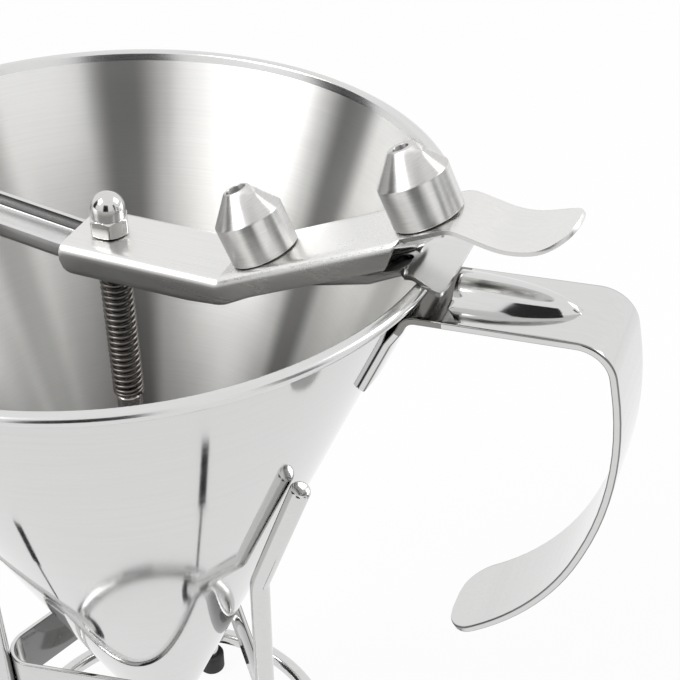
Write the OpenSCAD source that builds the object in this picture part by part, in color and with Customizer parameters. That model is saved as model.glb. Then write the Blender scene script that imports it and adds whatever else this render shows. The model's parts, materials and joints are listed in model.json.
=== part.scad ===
// Piston funnel for portioning pancake batter, on its three-legged stand.
// The rim lies in a level plane, the handle and the lever point along +X,
// the stand's feet rest on z = 0, and the origin is midway between the rim's
// far edge and the grip.

/* [Funnel] */
// Diameter over the rolled rim
rim_d = 190; // [189:1:192]
// Height of the rim above the table
rim_h = 250; // [246:1:256]
// Depth below the rim at which the sheet cone meets the outlet hub
hub_depth = 196; // [194:1:198]
// How far below that the cone would come to a point
missing_tip = 30; // [28:1:33]
// Thickness of the cone's sheet
sheet_t = 0.9; // [0.8:0.1:1.1]
// Diameter of the rolled rim
bead_d = 3; // [2.6:0.2:3.4]

/* [Outlet and nozzles] */
// Diameter of the threaded spigot and of the pegs
spigot_d = 13.8; // [13.4:0.2:14.2]
// Length of the threaded spigot and of the pegs
spigot_l = 7; // [6:0.5:7]
// Bore of the outlet hub
outlet_bore_d = 9; // [8:0.5:9.5]
// Outer diameter of a nozzle
nozzle_d = 18.5; // [18:0.5:19]
// Length of a nozzle's straight skirt
nozzle_skirt_l = 11; // [10:0.5:12]
// Length of a nozzle's cone
nozzle_cone_l = 7.4; // [6.6:0.2:8]
// Diameter of a nozzle's small end
nozzle_tip_d = 6.8; // [6.6:0.2:7.4]
// Bore of the nozzle on the outlet
outlet_nozzle_bore_d = 5; // [4.2:0.2:5.2]
// Bore of the first spare nozzle
wide_nozzle_bore_d = 5.4; // [4.8:0.2:5.6]
// Bore of the second spare nozzle
fine_nozzle_bore_d = 4; // [3:0.2:4.6]

/* [Lever] */
// Outer width of the lever channel
lever_w = 24; // [23.6:0.2:25]
// Sheet thickness of the lever
lever_t = 1.2; // [1:0.1:1.4]
// Radius along the channel's outer edges
lever_edge_r = 2.4; // [2:0.2:3]
// Depth of the level channel
lever_depth = 7.8; // [7.4:0.2:8.2]
// Depth of the rising channel
lever_rise_depth = 6.4; // [6:0.2:6.8]
// Depth of the level web's top below the rim
lever_drop = 11.8; // [11.4:0.2:12.2]
// Length of the channel behind the piston rod
lever_tail = 9.5; // [8:0.5:11]
// Distance of the kink from the piston rod
kink_x = 37; // [36:0.5:38]
// Angle at which the lever rises from the kink
rise_angle = 25; // [24:0.5:26]
// Width of the thumb tab
tab_w = 20.5; // [18:0.5:21]
// Distance of the pivot from the piston rod
pivot_x = 34; // [33:0.5:35]
// Diameter of the pivot pin
pivot_d = 3; // [2.6:0.2:3.2]

/* [Bridge] */
// Outer width of the bridge channel
bridge_w = 14; // [13:0.5:15]
// Sheet thickness of the bridge
bridge_t = 1.3; // [1.1:0.1:1.4]
// Depth of the bridge channel on the side away from the handle
bridge_depth = 5.2; // [4.6:0.2:5.4]
// Depth of the bridge channel on the side of the handle
bridge_rise_depth = 3.2; // [2.8:0.2:3.4]
// Width of the plate that lies on the rim
plate_w = 30; // [28:1:32]
// Length of the plate past the rim's outer edge
plate_past = 4.2; // [3:0.2:5]

/* [Piston] */
// Diameter of the threaded upper rod
rod_d = 6; // [5.6:0.2:6]
// Diameter of the thicker lower rod
lower_rod_d = 7.5; // [7.2:0.1:8]
// Depth below the rim of the shoulder that carries the spring
shoulder_depth = 67.4; // [66:0.2:69]
// Width across the flats of the acorn nut
nut_af = 10; // [10:0.5:11]
// Height of the acorn nut
nut_h = 12; // [11:0.5:13]
// Diameter of the valve plug
plug_d = 14.4; // [13.6:0.2:14.8]

/* [Spring] */
// Outer diameter of the return spring
spring_d = 9.2; // [9.2:0.1:9.6]
// Wire diameter of the return spring
spring_wire_d = 1.1; // [0.9:0.1:1.2]
// Number of curls of the return spring
spring_curls = 18; // [16:1:18]

/* [Handle] */
// Width of the handle strap
strap_w = 26.6; // [24:0.2:30]
// Thickness of the handle strap
strap_t = 2; // [1.6:0.2:2.4]
// Reach of the grip from the funnel's axis
grip_reach = 146; // [142:1:152]
// Depth of the grip's free end below the rim
grip_depth = 117; // [112:1:122]
// Width of the raised rib at its root
rib_w = 14; // [12:1:16]

/* [Stand] */
// Diameter of the stand's rods
leg_d = 6; // [5:0.5:6.5]
// How far the legs stand outside the line of their prongs
leg_clear = 1.8; // [1.2:0.2:2.4]
// Direction of the first leg from the handle
leg_turn = -20; // [-24:1:-16]
// Depth below the rim at which the legs bend
bend_depth = 112; // [110:1:114]
// Depth below the rim of the legs' upper ends
prong_depth = 64; // [62:1:68]
// Height of the flat strip hoop
hoop_h = 20; // [16:1:22]
// Thickness of the hoop strip
hoop_t = 1.5; // [1:0.1:1.8]
// Radius of the hoop's corners
hoop_corner_r = 8; // [7:0.5:8.5]
// Depth below the rim of the hoop's upper edge
hoop_depth = 165; // [164:1:170]
// Height of a foot cap
cap_h = 8; // [7:0.5:8]
// Wall of a foot cap
cap_wall = 2; // [1.5:0.5:2.5]
// Height of the base ring's middle above the table
ring_z = 12; // [12:0.5:15]

/* [Hidden] */
$fn = 72;

// Clearances
fit_gap = 0.05;
seat_gap = 0.3;
spring_gap = 0.05;
valve_gap = 0.3;
slot_play = 0.5;
huge = 400;

// The cone's outer radius at a depth below the rim, and its half angle
point_depth = hub_depth + missing_tip;
cone_top_r = rim_d / 2 - bead_d / 2 - 1;
function cone_r(depth) = cone_top_r * (1 - depth / point_depth);
cone_angle = atan(cone_top_r / point_depth);
wall_dx = sheet_t / cos(cone_angle);

// The lever's and the pivot's heights
web_top = -lever_drop;
web_low = web_top - lever_t;
knuckle_r = pivot_d / 2 + 1.2;
pivot_z = web_low - knuckle_r - 0.9;
pin_cover = 0.6;
flange_low = web_top - lever_depth;

// Heights of the bridge: level under the rod, rising to both sides of the rim
bridge_low = flange_low - 0.8;
bridge_flat = 8;
bridge_rise_x = 26;
bridge_left_rise = 0.131;
plate_x = rim_d / 2 - 5;
bridge_ramp = [plate_x - 12, -6.4];

// Shapes of the lever
rise_dir = [cos(rise_angle), sin(rise_angle)];
kink = [kink_x, web_top];
rise_l = (plate_x + 8.4 - kink_x) / rise_dir[0];
peg_pitch = [10.6, rise_l - 8.55];
arch = kink + rise_dir * rise_l;
tab_valley = arch + [20.3, -4.6];
tab_tip = tab_valley + [8.3, 8.6];
lever_path = [[-lever_tail, web_top], kink, arch, tab_valley, tab_tip];
lever_bends = [0, 3, 7, 20, 0];
channel_end = rise_l - 13.15;

// Shapes of the handle: the line of its outer face from the cone to the free end
strap_foot_depth = 34;
strap_drop = 8;
strap_slope = 4.7;
strap_root_x = rim_d / 2 + 1;
root_t = (cone_top_r - strap_root_x - strap_drop * tan(cone_angle))
    / (1 - tan(strap_slope) * tan(cone_angle));
strap_path = [
    [cone_r(strap_drop + 9), -strap_drop - 9],
    [strap_root_x + root_t, -strap_drop + root_t * tan(strap_slope)],
    [grip_reach - 5.3, -strap_drop + (grip_reach - 5.3 - strap_root_x) * tan(strap_slope)],
    [grip_reach + 3.9, -0.374 * grip_depth],
    [grip_reach - 14.5, -0.857 * grip_depth],
    [grip_reach - 40.5, -grip_depth]
];
strap_reach = [0, 3, 9, 29, 28, 0];
strap_outline = strip(strap_path, reach_radii(strap_path, strap_reach), strap_t);

// The funnel's axis stands at x = -mid_x
mid_x = (max([for (p = strap_outline) p[0]]) - rim_d / 2) / 2;
echo(mid_x = mid_x);

// Outlet levels, as depths below the rim
seat_top_depth = hub_depth + 7.2;
seat_top_r = cone_r(seat_top_depth) - wall_dx;
seat_low_depth = seat_top_depth + seat_top_r - outlet_bore_d / 2;
hub_low_depth = hub_depth + 12;
hub_r = nozzle_d / 2 + 0.15;
hub_taper_depth = point_depth * (1 - hub_r / cone_top_r);
spigot_low_depth = hub_low_depth + spigot_l;
socket_l = spigot_l + 0.5;

// Piston levels
nut_base = web_top + seat_gap;
rod_top = nut_base + nut_h * 0.66;
plug_seat_lift = valve_gap * sqrt(2);
plug_r = plug_d / 2;
plug_wide_depth = seat_top_depth + seat_top_r - plug_r - plug_seat_lift;
plug_neck_depth = plug_wide_depth - 8;
stub_d = 5;

// Spring
spring_top = bridge_low - 1.2 - spring_gap;
spring_low = -shoulder_depth + spring_gap;
spring_r = (spring_d - spring_wire_d) / 2;
rings_per_curl = 8;
wire_sides = 6;

// Stand
prong_r = cone_r(prong_depth) + (leg_d / 2 + seat_gap) / cos(cone_angle);
leg_r = cone_r(bend_depth) + (leg_d / 2 + seat_gap) / cos(cone_angle) + leg_clear;
hoop_side = leg_r - leg_d / 2 - hoop_t / 2;
hoop_centre_r = hoop_side - hoop_corner_r;
leg_low = 1.5;
ring_r = leg_r + leg_d;

steel = [0.80, 0.80, 0.80];
satin = [0.66, 0.65, 0.63];
bright = [0.88, 0.88, 0.87];
dark = [0.36, 0.36, 0.36];
rubber = [0.12, 0.12, 0.12];

// ---- Helpers ----------------------------------------------------------------

function unit(v) = v / norm(v);
function left_of(v) = [-v[1], v[0]];
function heading(v) = atan2(v[1], v[0]);
// Turn from one direction to the next, positive to the left
function turn(a, b) = atan2(a[0] * b[1] - a[1] * b[0], a * b);

// Points of an arc that rounds the corner at p between directions a and b
function corner_arc(p, a, b, r) =
    let (t = turn(a, b), side = sign(t), back = r * tan(abs(t) / 2))
    let (start = p - a * back, centre = start + left_of(a) * r * side)
    let (steps = max(3, ceil(abs(t) / 6)))
    [for (i = [0:steps])
        let (h = heading(a) + t * i / steps)
        centre - [-sin(h), cos(h)] * r * side];

// A line through pts whose inner corners are rounded
function bent_line(pts, radii) = [
    for (i = [0:len(pts) - 1])
        if (i == 0 || i == len(pts) - 1 || radii[i] <= 0) pts[i]
        else let (a = unit(pts[i] - pts[i - 1]), b = unit(pts[i + 1] - pts[i]))
            each corner_arc(pts[i], a, b, radii[i])
];

// Radii whose arcs start the given lengths before each corner
function reach_radii(pts, reach) = [
    for (i = [0:len(pts) - 1])
        i == 0 || i == len(pts) - 1 ? 0
            : reach[i] / tan(abs(turn(pts[i] - pts[i - 1], pts[i + 1] - pts[i])) / 2)
];

// The same corners moved to the right of the line by d
function beside(pts, d) = [
    for (i = [0:len(pts) - 1])
        let (a = unit(i == 0 ? pts[1] - pts[0] : pts[i] - pts[i - 1]))
        let (b = unit(i == len(pts) - 1 ? pts[i] - pts[i - 1] : pts[i + 1] - pts[i]))
        let (n = unit(left_of(a) + left_of(b)))
        pts[i] - n * d / (n * left_of(a))
];

// Radii of the corners after that move
function beside_radii(pts, radii, d) = [
    for (i = [0:len(pts) - 1])
        i == 0 || i == len(pts) - 1 || radii[i] <= 0 ? 0
            : radii[i] + d * sign(turn(pts[i] - pts[i - 1], pts[i + 1] - pts[i]))
];

// A bent strip of thickness t, with pts along its left face
function strip(pts, radii, t) =
    let (back = bent_line(beside(pts, t), beside_radii(pts, radii, t)))
    concat(bent_line(pts, radii), [for (i = [len(back) - 1:-1:0]) back[i]]);

// A side outline in X and Z, made w wide about the plane of symmetry
module sideways(w) {
    translate([0, w / 2, 0])
        rotate([90, 0, 0])
            linear_extrude(w)
                children();
}

module at_rim() {
    translate([-mid_x, 0, rim_h])
        children();
}

module on_table() {
    translate([-mid_x, 0, 0])
        children();
}

// Places a piece on the rising web, s along it from the kink, with +Z square to it
module on_rise(s) {
    p = kink + rise_dir * s;
    translate([p[0], 0, p[1]])
        rotate([0, -rise_angle, 0])
            children();
}

// ---- Funnel -----------------------------------------------------------------

module funnel_cone() {
    color(steel)
        at_rim() {
            rotate_extrude($fn = 144)
                polygon([
                    [cone_top_r - wall_dx, 0], [cone_top_r, 0],
                    [cone_r(hub_depth), -hub_depth], [cone_r(hub_depth) - wall_dx, -hub_depth]
                ]);
            rotate_extrude($fn = 144)
                translate([rim_d / 2 - bead_d / 2, -bead_d / 2])
                    circle(d = bead_d, $fn = 24);
        }
}

module outlet_hub() {
    color(steel)
        at_rim()
            rotate_extrude()
                polygon([
                    [cone_r(hub_depth) - wall_dx, -hub_depth], [cone_r(hub_depth), -hub_depth],
                    [hub_r, -hub_taper_depth], [hub_r, -hub_low_depth],
                    [spigot_d / 2, -hub_low_depth], [spigot_d / 2, -spigot_low_depth],
                    [outlet_bore_d / 2, -spigot_low_depth], [outlet_bore_d / 2, -seat_low_depth],
                    [seat_top_r, -seat_top_depth]
                ]);
}

// A nozzle with its socket face on z = 0 and its small end up
module nozzle(bore_d) {
    skirt_r = nozzle_d / 2;
    socket_r = spigot_d / 2 + fit_gap;
    rotate_extrude()
        polygon([
            [socket_r, 0], [skirt_r, 0], [skirt_r, nozzle_skirt_l],
            [nozzle_tip_d / 2, nozzle_skirt_l + nozzle_cone_l],
            [bore_d / 2, nozzle_skirt_l + nozzle_cone_l],
            [bore_d / 2, socket_l + 2], [socket_r, socket_l]
        ]);
}

module outlet_nozzle() {
    color(bright)
        at_rim()
            translate([0, 0, -hub_low_depth - seat_gap])
                rotate([180, 0, 0])
                    nozzle(outlet_nozzle_bore_d);
}

// ---- Bridge -----------------------------------------------------------------

left_x = -rim_d / 2;
left_z = bridge_low + (-bridge_flat - left_x) * bridge_left_rise;
plate_end_x = rim_d / 2 + plate_past;
bridge_line = [
    [left_x, left_z], [-bridge_flat, bridge_low], [bridge_rise_x, bridge_low],
    bridge_ramp, [plate_x, 0], [plate_end_x, 0]
];

module bridge_web() {
    polygon(concat(
        bridge_line,
        [for (i = [len(bridge_line) - 1:-1:0]) bridge_line[i] + [0, bridge_t]]
    ));
}

module bridge_side() {
    polygon(concat(
        bridge_line,
        [
            [plate_end_x, bridge_t], [plate_x, bridge_t],
            bridge_ramp + [5, 5.1], bridge_ramp + [0, bridge_rise_depth],
            [bridge_rise_x + 20, bridge_low + 20 * 0.27 + bridge_rise_depth],
            [bridge_rise_x, bridge_low + bridge_rise_depth + 0.4],
            [bridge_flat, bridge_low + bridge_depth],
            [-bridge_flat, bridge_low + bridge_depth], [left_x, left_z + bridge_depth]
        ]
    ));
}

module bridge_channel() {
    sideways(bridge_w)
        bridge_web();
    for (side = [-1, 1])
        translate([0, side * (bridge_w - bridge_t) / 2, 0])
            sideways(bridge_t)
                bridge_side();
}

module bridge_bar() {
    bush_r = rod_d / 2 + 1.6;
    color(bright)
        at_rim()
            difference() {
                union() {
                    intersection() {
                        bridge_channel();
                        union() {
                            translate([0, 0, -point_depth])
                                cylinder(h = point_depth, r1 = 0, r2 = cone_top_r - wall_dx);
                            translate([0, -huge / 2, -huge / 2])
                                cube(huge);
                        }
                    }
                    intersection() {
                        translate([plate_x, -plate_w / 2, 0])
                            cube([plate_end_x - plate_x, plate_w, bridge_t]);
                        translate([plate_x - 8, 0, 0])
                            cylinder(h = bridge_t, r = plate_end_x - plate_x + 9.5);
                    }
                    translate([pivot_x, 0, pivot_z])
                        rotate([90, 0, 0])
                            cylinder(h = lever_w - 2 * lever_t - 1, r = knuckle_r, center = true);
                }
                translate([pivot_x, 0, pivot_z])
                    rotate([90, 0, 0])
                        cylinder(h = lever_w, r = pivot_d / 2 + fit_gap, center = true);
                translate([0, 0, bridge_low - 1])
                    cylinder(h = bridge_t + 2, r = bush_r);
                translate([plate_x - 7, 0, bridge_ramp[1]])
                    cylinder(h = -bridge_ramp[1] + 3, d = bridge_w - 6);
            }
}

module guide_bush() {
    bush_r = rod_d / 2 + 1.6;
    color(satin)
        at_rim()
            difference() {
                union() {
                    translate([0, 0, bridge_low - 1.2])
                        cylinder(h = 1.2, r = bush_r + 1.2);
                    translate([0, 0, bridge_low])
                        cylinder(h = bridge_t + 1.6, r = bush_r);
                }
                translate([0, 0, bridge_low - 2])
                    cylinder(h = bridge_t + 5, r = rod_d / 2 + fit_gap);
            }
}

// ---- Handle -----------------------------------------------------------------

rib_l = 31;

// The raised rib: a long cone that sinks into the strap towards its point
module strap_rib(inset) {
    rib_r = rib_w * 0.86;
    sink = rib_r * 0.79;
    translate([strap_root_x + 1, 0, -strap_drop - sink])
        rotate([0, 90 - strap_slope - 0.5, 0])
            cylinder(h = rib_l + 14, r1 = rib_r - inset, r2 = rib_r * 0.60 - inset);
}

// The foot hugs the cone from below
module strap_foot() {
    foot_dx = strap_t / cos(cone_angle);
    top_depth = strap_drop + 3.5;
    intersection() {
        rotate_extrude($fn = 144)
            polygon([
                [cone_r(strap_foot_depth), -strap_foot_depth],
                [cone_r(strap_foot_depth) + foot_dx, -strap_foot_depth],
                [cone_r(top_depth) + foot_dx, -top_depth], [cone_r(top_depth), -top_depth]
            ]);
        translate([0, -strap_w / 2, -rim_h])
            cube([rim_d, strap_w, rim_h]);
    }
}

module handle_strap() {
    tip = strap_path[len(strap_path) - 1];
    tip_dir = unit(tip - strap_path[len(strap_path) - 2]);
    round_r = strap_w * 0.36;
    color(steel)
        at_rim()
            difference() {
                union() {
                    strap_foot();
                    sideways(strap_w)
                        polygon(strap_outline);
                    intersection() {
                        strap_rib(0);
                        translate([strap_root_x + 1, 0, -strap_drop - strap_t / 2])
                            rotate([0, -strap_slope, 0])
                                translate([0, -rib_w / 2, 0])
                                    cube([rib_l, rib_w, 6]);
                    }
                }
                // Both corners of the free end are rounded off
                for (side = [-1, 1])
                    translate([tip[0], 0, tip[1]])
                        rotate([0, -heading(tip_dir), 0])
                            translate([-round_r, side * (strap_w / 2 - round_r), -8])
                                difference() {
                                    translate([0, side > 0 ? 0 : -strap_w, 0])
                                        cube([strap_w, strap_w, 16]);
                                    cylinder(h = 16, r = round_r);
                                }
            }
}

// ---- Lever ------------------------------------------------------------------

// Half of the space inside a channel section, open downwards
module channel_outline(w, depth, r) {
    translate([-w / 2, -depth])
        square([w, depth - r]);
    translate([-w / 2 + r, -depth])
        square([w - 2 * r, depth]);
    for (side = [-1, 1])
        translate([side * (w / 2 - r), -r])
            circle(r = r, $fn = 12);
}

module channel_section() {
    difference() {
        channel_outline(lever_w, 12, lever_edge_r);
        translate([0, -lever_t])
            channel_outline(lever_w - 2 * lever_t, 12, lever_edge_r - lever_t);
    }
}

// The straight channel, running along +X from x = 0 with its web's top on z = 0
module channel_run(l) {
    rotate([90, 0, 90])
        linear_extrude(l)
            channel_section();
}

// Side outline of the two flanges: a rounded tail, the kink and the slanted end
module flange_outline() {
    rise_left = left_of(rise_dir);
    low_kink = [kink_x - 0.4, flange_low + 0.6];
    low_end = kink + rise_dir * channel_end - rise_left * lever_rise_depth - rise_dir * 6;
    high_end = kink + rise_dir * channel_end;
    tail_x = -lever_tail;
    polygon(concat(
        [[tail_x, 30]],
        corner_arc([tail_x, flange_low], [0, -1], [1, 0], 3.6),
        [low_kink, low_end, high_end, high_end + rise_left * 3, [kink_x, 30]]
    ));
}

module lever_channel() {
    half_turn = rise_angle / 2;
    overlap = 0.05;
    intersection() {
        union() {
            intersection() {
                translate([-lever_tail, 0, web_top])
                    channel_run(lever_tail + kink_x + 8);
                translate([kink_x, 0, web_top])
                    rotate([0, -half_turn, 0])
                        translate([overlap - huge, -huge / 2, -huge / 2])
                            cube(huge);
            }
            intersection() {
                translate([kink_x, 0, web_top])
                    rotate([0, -rise_angle, 0])
                        translate([-8, 0, 0])
                            channel_run(channel_end + 10);
                translate([kink_x, 0, web_top])
                    rotate([0, -half_turn, 0])
                        translate([-overlap, -huge / 2, -huge / 2])
                            cube(huge);
            }
        }
        sideways(lever_w + 2)
            flange_outline();
    }
}

// The web runs on past the flanges and bends into the thumb tab
module thumb_tab() {
    tip_r = tab_w * 0.42;
    low_x = kink_x + (channel_end - 3) * rise_dir[0];
    deep = norm(tab_tip - kink);
    intersection() {
        sideways(tab_w + 2)
            polygon(strip(lever_path, lever_bends, lever_t));
        translate([0, 0, -deep])
            linear_extrude(2 * deep)
                polygon(concat(
                    [[low_x, -tab_w / 2]],
                    corner_arc([tab_tip[0], -tab_w / 2], [1, 0], [0, 1], tip_r),
                    corner_arc([tab_tip[0], tab_w / 2], [0, 1], [-1, 0], tip_r),
                    [[low_x, tab_w / 2]]
                ));
    }
}

module lever() {
    slot_shift = [-1.6, 0.3];
    color(satin)
        at_rim()
            difference() {
                union() {
                    lever_channel();
                    thumb_tab();
                }
                // Slot in which the rod can tilt against the web
                for (dx = slot_shift)
                    translate([dx, 0, web_low - 1])
                        cylinder(h = lever_t + 2, r = rod_d / 2 + slot_play);
                translate([slot_shift[0], -rod_d / 2 - slot_play, web_low - 1])
                    cube([slot_shift[1] - slot_shift[0], rod_d + 2 * slot_play, lever_t + 2]);
                translate([pivot_x, 0, pivot_z])
                    rotate([90, 0, 0])
                        cylinder(h = lever_w + 2, d = pivot_d, center = true);
            }
}

module pivot_pin() {
    color(satin)
        at_rim()
            translate([pivot_x, 0, pivot_z])
                rotate([90, 0, 0])
                    cylinder(h = lever_w, d = pivot_d, center = true);
}

module peg(s) {
    color(satin)
        at_rim()
            on_rise(s)
                cylinder(h = spigot_l, d = spigot_d);
}

module inner_peg() {
    peg(peg_pitch[0]);
}

module outer_peg() {
    peg(peg_pitch[1]);
}

module parked_nozzle(s, bore_d) {
    color(bright)
        at_rim()
            on_rise(s)
                translate([0, 0, seat_gap])
                    nozzle(bore_d);
}

module wide_nozzle() {
    parked_nozzle(peg_pitch[0], wide_nozzle_bore_d);
}

module fine_nozzle() {
    parked_nozzle(peg_pitch[1], fine_nozzle_bore_d);
}

// ---- Piston -----------------------------------------------------------------

module piston_rod() {
    color(dark)
        at_rim()
            rotate_extrude()
                polygon([
                    [0, rod_top], [rod_d / 2 - 0.6, rod_top], [rod_d / 2, rod_top - 0.6],
                    [rod_d / 2, -shoulder_depth], [lower_rod_d / 2, -shoulder_depth],
                    [lower_rod_d / 2, -plug_neck_depth], [stub_d / 2, -plug_neck_depth],
                    [stub_d / 2, -plug_neck_depth - 6], [0, -plug_neck_depth - 6]
                ]);
}

module valve_plug() {
    nose_r = outlet_bore_d / 2 - 0.9;
    seat_reach = plug_r - outlet_bore_d / 2 + 0.3;
    color(bright)
        at_rim()
            rotate_extrude()
                polygon([
                    [stub_d / 2, -plug_neck_depth], [lower_rod_d / 2, -plug_neck_depth],
                    [plug_r, -plug_wide_depth + 2], [plug_r, -plug_wide_depth],
                    [plug_r - seat_reach, -plug_wide_depth - seat_reach],
                    [nose_r - 0.6, -plug_wide_depth - seat_reach - 2],
                    [0, -plug_wide_depth - seat_reach - 2],
                    [0, -plug_neck_depth - 6], [stub_d / 2, -plug_neck_depth - 6]
                ]);
}

module acorn_nut() {
    hex_h = nut_h * 0.42;
    dome_r = nut_af * 0.475;
    corner_r = nut_af / 2 / cos(30);
    color(bright)
        at_rim()
            translate([0, 0, nut_base])
                difference() {
                    union() {
                        intersection() {
                            cylinder(h = hex_h, r = corner_r, $fn = 6);
                            cylinder(h = hex_h + 2, r1 = corner_r + 1.2, r2 = dome_r + 0.1);
                            translate([0, 0, -4])
                                cylinder(h = hex_h + 4, r1 = nut_af / 2 - 3.2, r2 = corner_r + 5);
                        }
                        cylinder(h = nut_h - dome_r, r = dome_r);
                        translate([0, 0, nut_h - dome_r])
                            sphere(r = dome_r);
                    }
                    translate([0, 0, -1])
                        cylinder(h = rod_top - nut_base + 1.5, d = rod_d);
                }
}

// ---- Spring -----------------------------------------------------------------

// The wire's middle rises by steady curls, with two closer curls at each end
spring_close = 2;
close_pitch = spring_wire_d + 0.5;
spring_span = spring_top - spring_low - spring_wire_d;
open_pitch = (spring_span - 2 * spring_close * close_pitch) / (spring_curls - 2 * spring_close);

function spring_z(turns) =
    turns < spring_close ? turns * close_pitch
    : turns < spring_curls - spring_close
        ? spring_close * close_pitch + (turns - spring_close) * open_pitch
    : spring_span - (spring_curls - turns) * close_pitch;

function spring_point(turns) = [
    spring_r * cos(turns * 360), spring_r * sin(turns * 360),
    spring_low + spring_wire_d / 2 + spring_z(turns)
];

spring_rings = spring_curls * rings_per_curl;
spring_line = [for (i = [0:spring_rings]) spring_point(i / rings_per_curl)];

function ring_points(i) =
    let (turns = i / rings_per_curl, p = spring_line[i])
    let (out = [cos(turns * 360), sin(turns * 360), 0])
    [for (k = [0:wire_sides - 1])
        let (a = 360 * k / wire_sides + 30)
        p + (out * cos(a) + [0, 0, 1] * sin(a)) * spring_wire_d / 2];

// The least gap between curls, measured between points at least half a curl apart
function least(v) = min(v);
curl_gap = least([
    for (i = [0:spring_rings - rings_per_curl])
        least([
            for (j = [i + rings_per_curl / 2:min(i + 2 * rings_per_curl, spring_rings)])
                norm(spring_line[j] - spring_line[i])
        ])
]) - spring_wire_d;
echo(curl_gap = curl_gap);

module return_spring() {
    points = [for (i = [0:spring_rings]) each ring_points(i)];
    last = spring_rings * wire_sides;
    sides = [
        for (i = [0:spring_rings - 1])
            for (k = [0:wire_sides - 1])
                let (a = i * wire_sides + k, b = i * wire_sides + (k + 1) % wire_sides)
                each [[a, b + wire_sides, b], [a, a + wire_sides, b + wire_sides]]
    ];
    ends = [
        for (k = [1:wire_sides - 2])
            each [[0, k, k + 1], [last, last + k + 1, last + k]]
    ];
    color(dark)
        at_rim()
            polyhedron(points = points, faces = concat(sides, ends));
}

// ---- Stand ------------------------------------------------------------------

module leg(i) {
    bend = [leg_r, 0, rim_h - bend_depth];
    top = [prong_r, 0, rim_h - prong_depth];
    run = top - bend;
    tilt = atan2(run[0], run[2]);
    tip_bevel = 0.9;
    rotate([0, 0, leg_turn + 120 * i]) {
        translate([leg_r, 0, leg_low])
            cylinder(h = bend[2] - leg_low, d = leg_d);
        translate(bend)
            sphere(d = leg_d);
        translate(bend)
            rotate([0, tilt, 0]) {
                cylinder(h = norm(run) - tip_bevel, d = leg_d);
                translate([0, 0, norm(run) - tip_bevel])
                    cylinder(h = tip_bevel, d1 = leg_d, d2 = leg_d - 2 * tip_bevel);
            }
    }
}

module right_leg() {
    color(steel)
        on_table()
            leg(0);
}

module rear_leg() {
    color(steel)
        on_table()
            leg(1);
}

module left_leg() {
    color(steel)
        on_table()
            leg(2);
}

// Outline of a triangle with a rounded corner towards each leg
function corner_points(r) = [
    for (i = [0:2])
        let (a = leg_turn + 120 * i)
        for (side = [-60:7.5:60])
            hoop_centre_r * [cos(a), sin(a)] + r * [cos(a + side), sin(a + side)]
];

module stand_hoop() {
    color(steel)
        at_rim()
            translate([0, 0, -hoop_depth - hoop_h])
                linear_extrude(hoop_h)
                    difference() {
                        polygon(corner_points(hoop_corner_r + hoop_t / 2));
                        polygon(corner_points(hoop_corner_r - hoop_t / 2));
                    }
}

module stand_ring() {
    color(steel)
        on_table()
            translate([0, 0, ring_z])
                rotate_extrude($fn = 120)
                    translate([ring_r, 0])
                        circle(d = leg_d, $fn = 24);
}

module foot(i) {
    color(rubber)
        on_table()
            rotate([0, 0, leg_turn + 120 * i])
                translate([leg_r, 0, 0])
                    difference() {
                        cylinder(h = cap_h, d = leg_d + 2 * cap_wall);
                        translate([0, 0, leg_low])
                            cylinder(h = cap_h, d = leg_d);
                    }
}

module right_foot() {
    foot(0);
}

module rear_foot() {
    foot(1);
}

module left_foot() {
    foot(2);
}

funnel_cone();
outlet_hub();
outlet_nozzle();
bridge_bar();
guide_bush();
handle_strap();
lever();
pivot_pin();
inner_peg();
outer_peg();
wide_nozzle();
fine_nozzle();
piston_rod();
valve_plug();
acorn_nut();
return_spring();
stand_hoop();
stand_ring();
right_leg();
rear_leg();
left_leg();
right_foot();
rear_foot();
left_foot();
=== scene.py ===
"""Looks of a piston funnel for pancake batter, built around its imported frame.

Sizes are in millimetres in the funnel's own frame: its axis is x = y = 0, its rim
lies in z = 0 and the handle points along +X. The last step of every mesh turns
them into metres in the frame's coordinates.
"""
import json
import logging
import math
from dataclasses import dataclass, field, replace
from enum import Enum
from typing import Callable, Iterator, Sequence

import bmesh
import bpy
from mathutils import Matrix, Vector

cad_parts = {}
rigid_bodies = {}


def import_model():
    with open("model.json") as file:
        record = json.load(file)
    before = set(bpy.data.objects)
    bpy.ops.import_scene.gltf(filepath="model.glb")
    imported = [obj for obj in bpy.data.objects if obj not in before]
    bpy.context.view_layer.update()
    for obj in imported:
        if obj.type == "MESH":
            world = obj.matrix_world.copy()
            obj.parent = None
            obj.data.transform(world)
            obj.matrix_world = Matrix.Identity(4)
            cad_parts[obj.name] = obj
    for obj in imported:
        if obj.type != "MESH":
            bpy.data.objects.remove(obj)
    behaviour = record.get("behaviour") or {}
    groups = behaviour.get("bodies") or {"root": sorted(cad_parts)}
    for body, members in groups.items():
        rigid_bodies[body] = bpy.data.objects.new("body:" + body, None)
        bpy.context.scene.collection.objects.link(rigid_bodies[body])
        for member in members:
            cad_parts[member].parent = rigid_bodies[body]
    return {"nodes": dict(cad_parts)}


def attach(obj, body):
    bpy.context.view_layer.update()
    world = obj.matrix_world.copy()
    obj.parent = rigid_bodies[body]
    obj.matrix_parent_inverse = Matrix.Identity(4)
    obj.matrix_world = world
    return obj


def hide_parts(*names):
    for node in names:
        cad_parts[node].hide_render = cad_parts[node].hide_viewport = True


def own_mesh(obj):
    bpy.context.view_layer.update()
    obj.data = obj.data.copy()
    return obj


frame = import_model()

LOG = logging.getLogger("batter_funnel")
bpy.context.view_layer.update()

AXIS_X = -25.4676
RIM_Z = 250.0
MM = 0.001
TO_FRAME = Matrix.Diagonal((MM, MM, MM, 1.0)) @ Matrix.Translation((AXIS_X, 0.0, RIM_Z))
FULL_TURN = 2 * math.pi
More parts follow.
